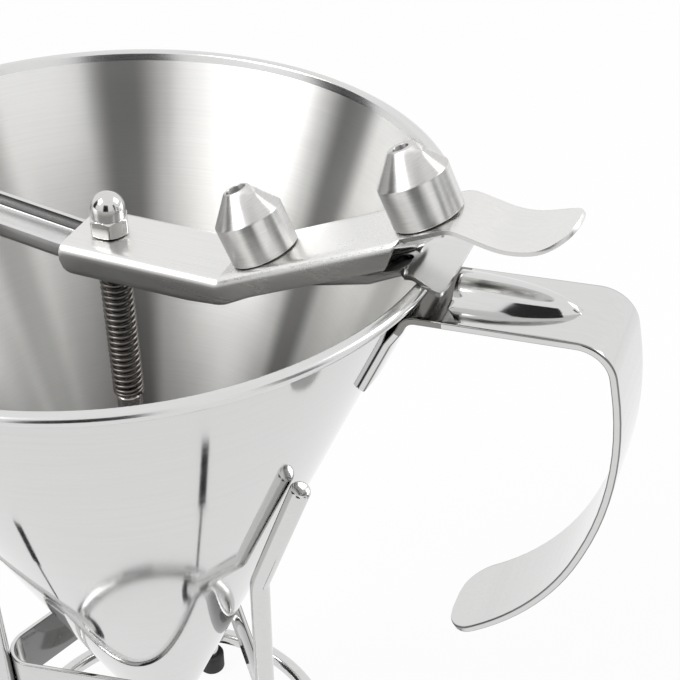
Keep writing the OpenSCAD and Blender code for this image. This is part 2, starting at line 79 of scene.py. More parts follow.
SHARP_DEG = 38.0

Point2 = tuple[float, float]
Node = bpy.types.Node
Socket = bpy.types.NodeSocket
Material = bpy.types.Material
Piece = bpy.types.Object


# ---- Shape helpers ------------------------------------------------------------


def add_object(name: str, data: bpy.types.ID) -> Piece:
    """Makes an object of some data and puts it in the scene.

    Args:
        name: The object's name.
        data: Its mesh, camera or light.

    Returns:
        The new object.
    """
    made = bpy.data.objects.new(name, data)
    bpy.context.scene.collection.objects.link(made)
    return made


def clamp(value: float) -> float:
    """Returns a value held between 0 and 1."""
    return min(max(value, 0.0), 1.0)


def tidy_mesh(mesh: bpy.types.Mesh, sharp_deg: float = SHARP_DEG) -> None:
    """Merges doubles, turns the faces outwards and shades them smooth.

    Args:
        mesh: The mesh, in metres.
        sharp_deg: Edges sharper than this many degrees stay crisp.
    """
    work = bmesh.new()
    work.from_mesh(mesh)
    bmesh.ops.remove_doubles(work, verts=work.verts, dist=2e-6)
    bmesh.ops.dissolve_degenerate(work, edges=work.edges, dist=1e-7)
    bmesh.ops.recalc_face_normals(work, faces=work.faces)
    work.to_mesh(mesh)
    work.free()
    mesh.shade_smooth()
    mesh.set_sharp_from_angle(angle=math.radians(sharp_deg))
    mesh.update()


@dataclass
class Shell:
    """A mesh in the making: points in millimetres, faces and their material slots."""

    points: list[Vector] = field(default_factory=list)
    faces: list[tuple[int, ...]] = field(default_factory=list)
    slots: list[int] = field(default_factory=list)

    def add_grid(self, rows: Sequence[Sequence[Vector]], loop_rows: bool = False,
                 loop_columns: bool = False, slot_of: Callable[[int], int] = lambda i: 0
                 ) -> "Shell":
        """Adds a grid of quads.

        Args:
            rows: Rows of points, all of one length.
            loop_rows: Joins the last row to the first.
            loop_columns: Joins each row's last point to its first.
            slot_of: Gives the material slot of the strip after a row.

        Returns:
            The shell itself.
        """
        base, width = len(self.points), len(rows[0])
        self.points.extend(Vector(p) for row in rows for p in row)
        for i in range(len(rows) if loop_rows else len(rows) - 1):
            here, there = base + i * width, base + (i + 1) % len(rows) * width
            for k in range(width if loop_columns else width - 1):
                m = (k + 1) % width
                self.faces.append((here + k, here + m, there + m, there + k))
                self.slots.append(slot_of(i))
        return self

    def add_tube(self, rows: Sequence[Sequence[Vector]],
                 slot_of: Callable[[int], int] = lambda i: 0) -> "Shell":
        """Adds a tube through rings of points, closed at both ends.

        Args:
            rows: The rings, from one end to the other.
            slot_of: Gives the material slot of the strip after a ring.

        Returns:
            The shell itself.
        """
        self.add_grid(rows, loop_columns=True, slot_of=slot_of)
        for ring in (rows[0], rows[-1]):
            start = len(self.points)
            self.points.extend(Vector(p) for p in ring)
            self.faces.append(tuple(range(start, start + len(ring))))
            self.slots.append(0)
        return self

    def moved(self, place: Matrix) -> "Shell":
        """Returns the same shell with its points moved by a matrix."""
        return Shell([place @ p for p in self.points], self.faces, self.slots)

    def to_object(self, name: str, finishes: Sequence[Material],
                  sharp_deg: float = SHARP_DEG) -> Piece:
        """Makes the scene object of this shell.

        Args:
            name: The piece's name.
            finishes: One material for each slot.
            sharp_deg: Edges sharper than this many degrees stay crisp.

        Returns:
            The new object, at the origin, with its place in its mesh.
        """
        mesh = bpy.data.meshes.new(name)
        mesh.from_pydata([TO_FRAME @ p for p in self.points], [], self.faces)
        for finish in finishes:
            mesh.materials.append(finish)
        mesh.polygons.foreach_set("material_index", self.slots)
        tidy_mesh(mesh, sharp_deg)
        return add_object(name, mesh)


def bake_modifiers(piece: Piece) -> None:
    """Turns a piece's modifiers into plain mesh and removes them.

    Args:
        piece: The object, with its modifiers set.
    """
    bpy.context.view_layer.update()
    graph = bpy.context.evaluated_depsgraph_get()
    mesh = bpy.data.meshes.new_from_object(piece.evaluated_get(graph))
    piece.modifiers.clear()
    old, piece.data = piece.data, mesh
    name = old.name
    bpy.data.meshes.remove(old)
    mesh.name = name
    tidy_mesh(mesh)


def thicken(piece: Piece, up: Sequence[float], thickness: float, edge: float) -> None:
    """Gives a sheet its thickness behind its shown side and softens its edges.

    Args:
        piece: An object whose mesh is one open sheet.
        up: The direction that its shown side faces on the whole.
        thickness: The sheet's thickness in millimetres.
        edge: The width of the softened edges in millimetres.
    """
    total = sum((f.normal * f.area for f in piece.data.polygons), Vector())
    if total.dot(Vector(up)) < 0:
        piece.data.flip_normals()
    wall = piece.modifiers.new("wall", "SOLIDIFY")
    wall.thickness = thickness * MM
    wall.offset = -1.0
    wall.use_even_offset = True
    soft = piece.modifiers.new("edge", "BEVEL")
    soft.width = edge * MM
    soft.segments = 2
    soft.limit_method = "ANGLE"
    soft.angle_limit = math.radians(50)
    bake_modifiers(piece)


def drill(piece: Piece, start: Sequence[float], radius: float, length: float) -> None:
    """Drills an upright hole through a piece.

    Args:
        piece: The piece.
        start: The hole's lower end in millimetres.
        radius: The hole's radius.
        length: The hole's length.
    """
    place = Matrix.Translation(Vector(start))
    bit = revolve(cylinder(radius, length), 48, False).moved(place).to_object("drill_bit", [])
    cut = piece.modifiers.new("hole", "BOOLEAN")
    cut.operation = "DIFFERENCE"
    cut.solver = "EXACT"
    cut.object = bit
    bake_modifiers(piece)
    mesh = bit.data
    bpy.data.objects.remove(bit)
    bpy.data.meshes.remove(mesh)


def bend(before: Point2, corner: Point2, after: Point2, radius: float, step_deg: float
         ) -> list[Point2]:
    """Rounds one corner of a line.

    Args:
        before: The point before the corner.
        corner: The corner.
        after: The point after it.
        radius: The arc's radius, or 0 to keep the corner.
        step_deg: The turn from one point of the arc to the next.

    Returns:
        The arc's points, or the corner alone.
    """
    middle = Vector(corner)
    way = (middle - Vector(before)).normalized()
    onward = (Vector(after) - middle).normalized()
    turn = math.atan2(way.x * onward.y - way.y * onward.x, way.dot(onward))
    if radius <= 0 or abs(turn) < 1e-4:
        return [corner]
    side = math.copysign(1.0, turn)
    start = middle - way * radius * math.tan(abs(turn) / 2)
    centre = start + Vector((-way.y, way.x)) * radius * side
    count = max(3, math.ceil(abs(math.degrees(turn)) / step_deg))
    heading = math.atan2(way.y, way.x)
    angles = (heading + turn * k / count for k in range(count + 1))
    return [(centre.x + math.sin(a) * radius * side,
             centre.y - math.cos(a) * radius * side) for a in angles]


def fillet(points: Sequence[Point2], radii: Sequence[float] | float, step_deg: float = 7.5,
           closed: bool = False) -> list[Point2]:
    """Rounds the corners of a line.

    Args:
        points: The line's corners.
        radii: One radius for each corner, or one for all.
        step_deg: The turn from one point of an arc to the next.
        closed: The line is an outline, so its two ends are corners too.

    Returns:
        The points of the rounded line.
    """
    n = len(points)
    if isinstance(radii, (int, float)):
        radii = [radii] * n
    line: list[Point2] = []
    for i, corner in enumerate(points):
        radius = radii[i] if closed or 0 < i < n - 1 else 0.0
        line += bend(points[i - 1], corner, points[(i + 1) % n], radius, step_deg)
    return line


def resample(line: Sequence[Point2], step: float) -> list[Point2]:
    """Adds points to a line so that no two neighbours are further apart than a step.

    Args:
        line: The line's points.
        step: The largest distance in millimetres.

    Returns:
        The line with its own points and the added ones.
    """
    out: list[Point2] = [line[0]]
    for a, b in zip(line, line[1:]):
        count = max(1, math.ceil(math.dist(a, b) / step))
        out.extend((a[0] + (b[0] - a[0]) * k / count, a[1] + (b[1] - a[1]) * k / count)
                   for k in range(1, count + 1))
    return out


def arc(centre: Point2, radius: float, start: float, end: float, step: float = 12.0
        ) -> list[Point2]:
    """Finds points of an arc.

    Args:
        centre: The arc's centre.
        radius: Its radius.
        start: The angle of its first point, in degrees.
        end: The angle of its last point, in degrees.
        step: The largest angle from one point to the next, in degrees.

    Returns:
        The points, with both ends.
    """
    count = max(2, math.ceil(abs(end - start) / step))
    angles = (math.radians(start + (end - start) * k / count) for k in range(count + 1))
    return [(centre[0] + radius * math.cos(a), centre[1] + radius * math.sin(a)) for a in angles]


def circle(radius: float, z: float, segments: int) -> list[Vector]:
    """Returns the points of a level ring about the Z axis."""
    angles = (FULL_TURN * k / segments for k in range(segments))
    return [Vector((radius * math.cos(a), radius * math.sin(a), z)) for a in angles]


def cylinder(radius: float, height: float) -> list[Point2]:
    """Returns the profile of a plain disc or rod that stands on z = 0."""
    return [(0.0, 0.0), (radius, 0.0), (radius, height), (0.0, height)]


CREST_R, ROOT_R, HALF_PITCH = 6.9, 6.45, 0.5


def thread(radii: Point2, start: float, step: float) -> list[Point2]:
    """Returns the zigzag profile of a thread's six turns."""
    return [(radii[k % 2], start + k * step) for k in range(12)]


def revolve(profile: Sequence[Point2], segments: int, closed: bool = True,
            slot_of: Callable[[int], int] = lambda i: 0) -> Shell:
    """Turns a profile of (radius, height) about the Z axis.

    Args:
        profile: The profile's points.
        segments: How many steps one turn has.
        closed: The profile is a loop; otherwise it starts and ends on the axis.
        slot_of: Gives the material slot of each strip of the profile.

    Returns:
        The turned shell.
    """
    rows = [circle(r, z, segments) for r, z in profile]
    return Shell().add_grid(rows, loop_rows=closed, loop_columns=True, slot_of=slot_of)


def stand_on(origin: Sequence[float], up: Sequence[float]) -> Matrix:
    """Returns the matrix that takes local +Z to a direction at a point."""
    turn = Vector((0, 0, 1)).rotation_difference(Vector(up))
    return Matrix.Translation(Vector(origin)) @ turn.to_matrix().to_4x4()


class Path:
    """A line in the XZ plane with its length along it and its left normals."""

    def __init__(self, points: Sequence[Point2]) -> None:
        """Stores the points and measures along them.

        Args:
            points: The line's points.
        """
        self.points = [Vector(p) for p in points]
        self.lengths = [0.0]
        for a, b in zip(self.points, self.points[1:]):
            self.lengths.append(self.lengths[-1] + (b - a).length)

    def normal(self, i: int) -> Vector:
        """Finds the left normal at a point, stretched to keep offsets even.

        Args:
            i: The point's number.

        Returns:
            The normal.
        """
        steps = [b - a for a, b in zip(self.points[max(i - 1, 0):i + 1], self.points[max(i, 1):])]
        a, b = steps[0].normalized(), steps[-1].normalized()
        left = Vector((-a.y, a.x))
        mid = (left + Vector((-b.y, b.x))).normalized()
        return mid / max(mid.dot(left), 0.5)

    def across(self, i: int, section: Sequence[Point2]) -> list[Vector]:
        """Places a section's points of (y, lift) square across the line at a point."""
        p, n = self.points[i], self.normal(i)
        return [Vector((p.x + n.x * lift, y, p.y + n.y * lift)) for y, lift in section]


# ---- Finishes -----------------------------------------------------------------


class NodeKit:
    """A node tree with short ways to add to it."""

    def __init__(self, tree: bpy.types.NodeTree) -> None:
        """Takes a tree and empties it."""
        self.tree = tree
        tree.nodes.clear()

    def add(self, kind: str, inputs: dict | None = None, **settings: object) -> Node:
        """Adds a node.

        Args:
            kind: The node's type; a shader node's goes without its prefix.
            inputs: Values or sockets for its inputs, by name or number.
            **settings: Attributes of the node.

        Returns:
            The new node.
        """
        prefix = "" if kind.startswith("GeometryNode") else "ShaderNode"
        node = self.tree.nodes.new(prefix + kind)
        for key, value in settings.items():
            setattr(node, key, value)
        for key, value in (inputs or {}).items():
            if isinstance(value, Socket):
                self.tree.links.new(value, node.inputs[key])
            else:
                node.inputs[key].default_value = value
        return node

    def out(self, kind: str, inputs: dict | None = None, **settings: object) -> Socket:
        """Adds a node and returns its first output."""
        return self.add(kind, inputs, **settings).outputs[0]

    def math(self, operation: str, *values: object) -> Socket:
        """Adds a Math node and returns its result."""
        return self.out("Math", dict(enumerate(values)), operation=operation)


class MaterialKit(NodeKit):
    """The node tree of a new material."""

    def __init__(self, name: str) -> None:
        """Makes the empty material.

        Args:
            name: The material's name.
        """
        self.material = bpy.data.materials.new(name)
        self.material.use_nodes = True
        super().__init__(self.material.node_tree)

    def map_range(self, value: Socket, low: float, high: float, to_low: float,
                  to_high: float, **settings: object) -> Socket:
        """Adds a clamped Map Range node and returns its result."""
        return self.out("MapRange", {"Value": value, "From Min": low, "From Max": high,
                                     "To Min": to_low, "To Max": to_high}, **settings)

    def noise(self, vector: Socket, scale: float, detail: float = 3.0,
              roughness: float = 0.55) -> Socket:
        """Adds a Noise Texture and returns its factor."""
        return self.out("TexNoise", {"Vector": vector, "Scale": scale, "Detail": detail,
                                     "Roughness": roughness})

    def facing(self, axis: int) -> Socket:
        """Returns how far the surface faces along an axis, either way."""
        normal = self.add("TexCoord").outputs["Normal"]
        return self.math("ABSOLUTE", self.add("SeparateXYZ", {0: normal}).outputs[axis])

    def mix(self, share: Socket, dark: Sequence[float], light: Sequence[float]) -> Socket:
        """Mixes two colours and returns the result."""
        return self.add("Mix", {"Factor": share, 6: (*dark, 1.0), 7: (*light, 1.0)},
                        data_type="RGBA").outputs[2]

    def bump(self, height: Socket, strength: float, distance: float) -> Socket:
        """Adds a Bump node and returns its normal."""
        return self.out("Bump", {"Height": height, "Strength": strength, "Distance": distance})

    def output(self, shader: Socket) -> Material:
        """Joins a shader to the material's output and returns the material."""
        self.add("OutputMaterial", {"Surface": shader})
        return self.material


class Grain(Enum):
    """The way the fine lines of a steel finish run."""

    RINGS = "rings about a vertical axis"
    LENGTHWAYS = "along +X"
    PLAIN = "no lines"


@dataclass(frozen=True)
class SteelFinish:
    """One finish of stainless steel, with optional painted shade and painted reflection bands in
    its colour.
    """

    name: str
    tint: tuple[float, float, float]
    roughness: float
    grain: Grain = Grain.LENGTHWAYS
    grain_depth: float = 0.0006
    grain_per_mm: float = 1.0
    roughness_swing: float = 0.03
    shade_swing: float = 0.02
    anisotropic: float = 0.0
    # The next six fields paint shade and reflections into the colour: darker sides, darker edge
    # faces, a dark reflected line on bevels, darker depths and dark reflection bands about the
    # axis.
    painted_side_shade: float = 1.0
    side_until: float = 1000.0
    painted_edge_shade: float = 1.0
    painted_edge_line: float = 1.0
    painted_depth_shade: float = 1.0
    painted_reflection_bands: tuple[tuple[float, float, float], ...] = ()
    centre: tuple[float, float, float] = (0.0, 0.0, 0.0)
    lean_deg: float = 0.0

    def grain_vector(self, kit: MaterialKit, parts: Sequence[Socket]) -> Socket:
        """Makes coordinates in which the grain's noise is stretched along its lines.

        Args:
            kit: The material's tree.
            parts: X, Y and Z about the finish's own centre and axis.

        Returns:
            The coordinates.
        """
        fine = self.grain_per_mm / MM
        if self.grain is Grain.RINGS:
            flat = kit.out("CombineXYZ", {0: parts[0], 1: parts[1]})
            radius = kit.add("VectorMath", {0: flat}, operation="LENGTH").outputs["Value"]
            angle = kit.math("ARCTAN2", parts[1], parts[0])
            scaled = ((radius, fine), (parts[2], fine), (angle, 2.0))
        else:
            along = 0.02 if self.grain is Grain.LENGTHWAYS else 1.0
            scaled = ((parts[0], fine * along), (parts[1], fine), (parts[2], fine))
        return kit.out("CombineXYZ", {i: kit.math("MULTIPLY", part, scale)
                                      for i, (part, scale) in enumerate(scaled)})

    def painted_shade_shares(self, kit: MaterialKit, parts: Sequence[Socket]) -> Iterator[Socket]:
        """Makes the shares of painted shade and painted reflection that darken the colour at its
        sides, edges, bands and depth.

        Args:
            kit: The material's tree.
            parts: X, Y and Z about the finish's own centre and axis.

        Yields:
            One share of the colour for each darker place.
        """
        # Painted shade: faces that face sideways are darker, less so beyond side_until.
        if self.painted_side_shade < 1.0:
            share = kit.map_range(kit.facing(2), 0.25, 0.6, self.painted_side_shade, 1.0)
            ends = kit.map_range(parts[0], self.side_until * MM, (self.side_until + 5.0) * MM,
                                 0.0, 0.85)
            yield kit.math("MAXIMUM", share, ends)
        # Painted shade: faces that face along Y are darker.
        if self.painted_edge_shade < 1.0:
            yield kit.map_range(kit.facing(1), 0.5, 0.85, 1.0, self.painted_edge_shade)
        # Painted reflection: a dark line on bevelled edges, kept off the rib.
        if self.painted_edge_line < 1.0:
            across = kit.facing(1)
            share = kit.math("MAXIMUM",
                             kit.map_range(across, 0.05, 0.2, 1.0, self.painted_edge_line),
                             kit.map_range(across, 0.88, 0.985, self.painted_edge_line, 0.95))
            inner = kit.math("LESS_THAN", kit.math("ABSOLUTE", parts[1]), 0.009)
            rib = kit.math("MULTIPLY", inner, kit.math("GREATER_THAN", parts[2], -0.02))
            yield kit.math("MAXIMUM", share, rib)
        # Painted reflections: dark bands at given angles about the finish's axis.
        for centre, reach, shade in self.painted_reflection_bands:
            angle = kit.math("ARCTAN2", parts[1], parts[0])
            off = kit.math("ABSOLUTE", kit.math("SUBTRACT", angle, math.radians(centre)))
            yield kit.map_range(off, math.radians(reach) * 0.25, math.radians(reach), shade, 1.0,
                                interpolation_type="SMOOTHSTEP")
        # Painted shade: darker with depth below the rim.
        if self.painted_depth_shade < 1.0:
            yield kit.map_range(parts[2], -120.0 * MM, -25.0 * MM, self.painted_depth_shade, 1.0)

    def build(self) -> Material:
        """Makes the finish's material.

        Returns:
            The material, whose colour, roughness and bump come from nodes.
        """
        kit = MaterialKit(self.name)
        coords = kit.add("TexCoord").outputs["Object"]
        local = kit.out("Mapping", {"Vector": coords,
                                    "Location": tuple(TO_FRAME @ Vector(self.centre)),
                                    "Rotation": (0.0, -math.radians(self.lean_deg), 0.0)},
                        vector_type="TEXTURE")
        parts = kit.add("SeparateXYZ", {0: local}).outputs
        lines = kit.noise(self.grain_vector(kit, parts), 1.0, 4.0, 0.6)
        clouds, specks = kit.noise(coords, 28.0, 3.0), kit.noise(coords, 900.0, 2.0)
        worn = kit.math("ADD", kit.math("MULTIPLY", clouds, 0.6), kit.math("MULTIPLY", lines, 0.4))
        rough = kit.map_range(worn, 0.35, 0.65, max(self.roughness - self.roughness_swing, 0.02),
                              self.roughness + self.roughness_swing)
        dark, light = ([min(c * (1.0 + swing), 1.0) for c in self.tint]
                       for swing in (-self.shade_swing, self.shade_swing))
        colour = kit.mix(kit.map_range(lines, 0.3, 0.7, 0.0, 1.0), dark, light)
        # Painted shade and painted reflection bands scale the colour down here.
        for share in self.painted_shade_shares(kit, parts):
            colour = kit.out("VectorMath", {0: colour, "Scale": share}, operation="SCALE")
        height = kit.math("ADD", lines, kit.math("MULTIPLY", specks, 0.25))
        inputs = {"Base Color": colour, "Metallic": 1.0, "Roughness": rough,
                  "Normal": kit.bump(height, 0.35, self.grain_depth * MM)}
        if self.anisotropic > 0.0:
            inputs.update({"Anisotropic": self.anisotropic, "Anisotropic Rotation": 0.25,
                           "Tangent": kit.out("Tangent", direction_type="RADIAL", axis="Z")})
        return kit.output(kit.out("BsdfPrincipled", inputs))


@dataclass(frozen=True)
class RubberFinish:
    """Matt black rubber of the foot caps."""

    name: str = "foot_rubber"
    dark: tuple[float, float, float] = (0.012, 0.012, 0.013)
    light: tuple[float, float, float] = (0.03, 0.03, 0.031)

    def build(self) -> Material:
        """Makes the rubber's material.

        Returns:
            The material.
        """
        kit = MaterialKit(self.name)
        grain = kit.noise(kit.add("TexCoord").outputs["Object"], 1400.0, 4.0)
        return kit.output(kit.out("BsdfPrincipled", {
            "Base Color": kit.mix(grain, self.dark, self.light),
            "Roughness": kit.map_range(grain, 0.3, 0.7, 0.55, 0.75),
            "Normal": kit.bump(grain, 0.4, 0.0001)}))


class Finishes:
    """The finishes that the funnel's pieces share."""

    def __init__(self) -> None:
        """Builds every shared material once."""
        rings, along, plain = Grain
        self.outside = SteelFinish("polished_outside", (0.645, 0.645, 0.64), 0.07, rings,
                                   0.0006, 0.6, 0.02, 0.015).build()
        # The inside paints shade that darkens with depth, and dark reflection bands at four angles
        # about the axis.
        self.inside = SteelFinish("ring_brushed_inside", (0.93, 0.925, 0.91), 0.36, rings,
                                  0.003, 2.6, 0.03, 0.03, 0.96, painted_depth_shade=0.5,
                                  painted_reflection_bands=((117.0, 9.0, 0.42), (62.5, 8.0, 0.42),
                                         (150.0, 8.0, 0.7), (28.0, 10.0, 0.75))).build()
        self.rim = SteelFinish("polished_rim", (0.70, 0.70, 0.695), 0.2, rings).build()
        # The sheet finish paints a dark reflection line along bevelled edges.
        self.sheet = SteelFinish("polished_strap", (0.68, 0.68, 0.675), 0.08,
                                 painted_edge_line=0.3).build()
        # Painted shadow: the dark finish of the strap's root bend under the rim.
        self.root = SteelFinish("strap_root_painted_shadow", (0.24, 0.235, 0.225), 0.1).build()
        # The bridge's finish paints shade on faces that face sideways.
        self.bridge = SteelFinish("polished_bridge", (0.70, 0.70, 0.695), 0.24,
                                  painted_edge_shade=0.28).build()
        # The lever's finish paints shade on its side flanges, less beyond x = 95 mm.
        self.lever = SteelFinish("satin_lever", (0.77, 0.765, 0.75), 0.3, along, 0.0008, 2.0,
                                 0.04, 0.03, painted_side_shade=0.33, side_until=95.0).build()
        self.turned = SteelFinish("turned_steel", (0.62, 0.615, 0.605), 0.33, rings,
                                  0.006, 2.4, 0.04, 0.07, 0.9).build()
        self.rod = SteelFinish("rod_steel", (0.42, 0.40, 0.385), 0.26, rings,
                               0.01, 2.0, 0.05, 0.08).build()
        # The nut's finish paints light shade on its upright sides.
        self.nut = SteelFinish("polished_nut", (0.66, 0.655, 0.645), 0.13, plain,
                               0.001, 2.0, 0.03, 0.03, painted_side_shade=0.8).build()
        self.wire = SteelFinish("spring_wire", (0.17, 0.16, 0.15), 0.30, plain,
                                0.01, 2.0, 0.05, 0.10).build()
        self.leg = SteelFinish("stand_rod", (0.66, 0.66, 0.655), 0.12, along,
                               0.002, 1.5, 0.04, 0.03).build()
        # A near-black finish for the disc of painted shade in the plate's hole.
        self.dark = SteelFinish("painted_hole_shade", (0.05, 0.048, 0.045), 0.4, plain,
                                0.002, 2.0, 0.05, 0.10).build()
        self.rubber = RubberFinish().build()

    @staticmethod
    def nozzle(name: str, centre: Vector, lean_deg: float) -> tuple[Material, Material]:
        """Builds the two finishes of a spare nozzle, turned about its own axis, with dark
        reflection bands painted at given angles about that axis.

        Args:
            name: The nozzle's name.
            centre: A point of its axis in millimetres.
            lean_deg: How far its axis leans back.

        Returns:
            The finish of its skirt and of its cone.
        """
        # Dark reflection bands painted about the nozzle's own axis.
        tip = SteelFinish(name + "_tip_steel", (0.64, 0.635, 0.625), 0.33, Grain.RINGS, 0.006,
                          2.4, 0.04, 0.07, 0.9, painted_reflection_bands=((-125.0, 30.0, 0.6),),
                          centre=tuple(centre), lean_deg=lean_deg)
        skirt = replace(tip, name=name + "_skirt_steel", tint=(0.75, 0.745, 0.735),
                        painted_reflection_bands=((-125.0, 32.0, 0.55), (-66.0, 18.0, 0.48), (-17.0, 20.0, 0.42)))
        return skirt.build(), tip.build()


# ---- Geometry Nodes -------------------------------------------------------------


class Tree(NodeKit):
    """A Geometry Nodes tree with named inputs."""

    def __init__(self, name: str, inputs: dict[str, str]) -> None:
        """Makes the tree and its named inputs.

        Args:
            name: The tree's name.
            inputs: For each input its kind: Int, Float, Vector or Material.
        """
        super().__init__(bpy.data.node_groups.new(name, "GeometryNodeTree"))
        face = self.tree.interface
        self.ids = {label: face.new_socket(label, in_out="INPUT",
                                           socket_type="NodeSocket" + kind).identifier
                    for label, kind in {"Geometry": "Geometry", **inputs}.items()}
        face.new_socket("Geometry", in_out="OUTPUT", socket_type="NodeSocketGeometry")
        self.inputs = self.tree.nodes.new("NodeGroupInput").outputs
        self.group_out = self.tree.nodes.new("NodeGroupOutput")

    def finish(self, geometry: Socket) -> None:
        """Ends the tree in Realize Instances and Set Material.

        Args:
            geometry: The geometry that the tree gives.
        """
        real = self.out("GeometryNodeRealizeInstances", {0: geometry})
        dressed = self.out("GeometryNodeSetMaterial",
                           {"Geometry": real, "Material": self.inputs["Material"]})
        self.tree.links.new(dressed, self.group_out.inputs[0])

    def run(self, piece: Piece, values: dict[str, object]) -> None:
        """Runs the tree on a piece and turns the result into its mesh.

        Args:
            piece: The object that gives the geometry.
            values: A value for each named input.
        """
        modifier = piece.modifiers.new("nodes", "NODES")
        modifier.node_group = self.tree
        for label, value in values.items():
            modifier[self.ids[label]] = value
        bake_modifiers(piece)


def round_array_tree() -> Tree:
    """Makes a tree that repeats its geometry about a vertical axis.

    Returns:
        The tree.
    """
    tree = Tree("round_array", {"Count": "Int", "Centre": "Vector", "Material": "Material"})
    take = tree.inputs
    back = tree.out("VectorMath", {0: take["Centre"], "Scale": -1.0}, operation="SCALE")
    middle = tree.out("GeometryNodeTransform", {"Geometry": take["Geometry"],
                                                "Translation": back})
    points = tree.out("GeometryNodeMeshLine", {"Count": take["Count"], "Offset": (0, 0, 0)})
    index = tree.out("GeometryNodeInputIndex")
    turn = tree.math("MULTIPLY", tree.math("DIVIDE", index, take["Count"]), FULL_TURN)
    copies = tree.out("GeometryNodeInstanceOnPoints", {
        "Points": points, "Instance": middle, "Rotation": tree.out("CombineXYZ", {2: turn})})
    tree.finish(tree.out("GeometryNodeTransform", {"Geometry": copies,
                                                   "Translation": take["Centre"]}))
    return tree


def coil_tree() -> Tree:
    """Makes a tree that winds a compression spring with closer curls at its ends.

    Returns:
        The tree.
    """
    floats = ("Curls", "Radius", "Wire", "Close Curls", "Close Pitch", "Open Pitch")
    tree = Tree("coil", {"Steps": "Int", "Sides": "Int", "Base": "Vector",
                         "Material": "Material", **dict.fromkeys(floats, "Float")})
    take = tree.inputs
    count = tree.math("ADD", tree.math("MULTIPLY", take["Curls"], take["Steps"]), 1.0)
    line = tree.out("GeometryNodeMeshLine", {"Count": count, "Offset": (0, 0, 0)})
    turns = tree.math("DIVIDE", tree.out("GeometryNodeInputIndex"), take["Steps"])
    angle = tree.math("MULTIPLY", turns, FULL_TURN)
    top = tree.math("SUBTRACT", take["Curls"], take["Close Curls"])
    low = tree.math("MINIMUM", turns, take["Close Curls"])
    high = tree.math("MAXIMUM", tree.math("SUBTRACT", turns, top), 0.0)
    middle = tree.math("SUBTRACT", tree.math("SUBTRACT", turns, low), high)
    rise = tree.math("ADD", tree.math("MULTIPLY", tree.math("ADD", low, high), take["Close Pitch"]),
                     tree.math("MULTIPLY", middle, take["Open Pitch"]))
    x, y = (tree.math("MULTIPLY", tree.math(wave, angle), take["Radius"])
            for wave in ("COSINE", "SINE"))
    placed = tree.out("VectorMath", {0: tree.out("CombineXYZ", {0: x, 1: y, 2: rise}),
                                     1: take["Base"]}, operation="ADD")
    wound = tree.out("GeometryNodeSetPosition", {"Geometry": line, "Position": placed})
    ring = tree.out("GeometryNodeCurvePrimitiveCircle", {"Resolution": take["Sides"],
                                                         "Radius": take["Wire"]})
    tree.finish(tree.out("GeometryNodeCurveToMesh", {
        "Curve": tree.out("GeometryNodeMeshToCurve", {0: wound}), "Profile Curve": ring,
        "Fill Caps": True}))
    return tree


# ---- Sub-assemblies -------------------------------------------------------------


@dataclass
class Report:
    """Fits pieces to their body, and logs each one."""

    count: int = 0

    def fit(self, piece: Piece, body: str, slot: str, *nodes: str) -> None:
        """Rides a piece on its body and lets it stand for its nodes.

        Args:
            piece: The finished piece.
            body: The body that carries it.
            slot: The record's material slot; not used.
            *nodes: The nodes that it replaces.
        """
        if nodes:
            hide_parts(*nodes)
        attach(piece, body)
        self.count += 1
        LOG.info("%s rides on %s: %d faces", piece.name, body, len(piece.data.polygons))


@dataclass
class Cone:
    """The sizes of the sheet cone that other pieces meet."""

    top_r: float = 92.5
    point_depth: float = 226.0
    wall: float = 0.972

    @property
    def taper(self) -> float:
        """The radius that the cone loses for each millimetre down."""
        return self.top_r / self.point_depth

    def outer(self, depth: float) -> float:
        """Returns the cone's outer radius at a depth."""
        return self.top_r * (1.0 - depth / self.point_depth)


@dataclass
class Assembly:
    """A sub-assembly, with the finishes it takes and the report of its pieces."""

    finishes: Finishes
    report: Report
    cone: Cone = field(default_factory=Cone)


@dataclass
class Nozzle:
    """One screw-on nozzle, socket down."""

    name: str
    bore_r: float
    skirt_r: float = 9.25
    skirt_l: float = 11.0
    cone_l: float = 7.4
    tip_r: float = 3.4
    socket_r: float = 6.95
    socket_l: float = 7.5

    def build(self, place: Matrix, skirt: Material, tip: Material) -> Piece:
        """Turns the nozzle and puts it in its place.

        Args:
            place: Where its socket's mouth stands.
            skirt: The finish of its straight skirt.
            tip: The finish of its cone.

        Returns:
            The nozzle.
        """
        top = self.skirt_l + self.cone_l
        corners = [(self.socket_r, 0.0), (self.skirt_r, 0.0), (self.skirt_r, self.skirt_l),
                   (self.tip_r, top), (self.bore_r, top), (self.bore_r, self.socket_l + 2.0),
                   (self.socket_r, self.socket_l)]
        outline = fillet(corners, [0.3, 0.35, 0.5, 0.3, 0.2, 0.1, 0.1], 15.0, closed=True)
        shell = revolve(outline, 128,
                        slot_of=lambda i: int(outline[i][1] > self.skirt_l - 0.3)).moved(place)
        return shell.to_object(self.name, [skirt, tip])


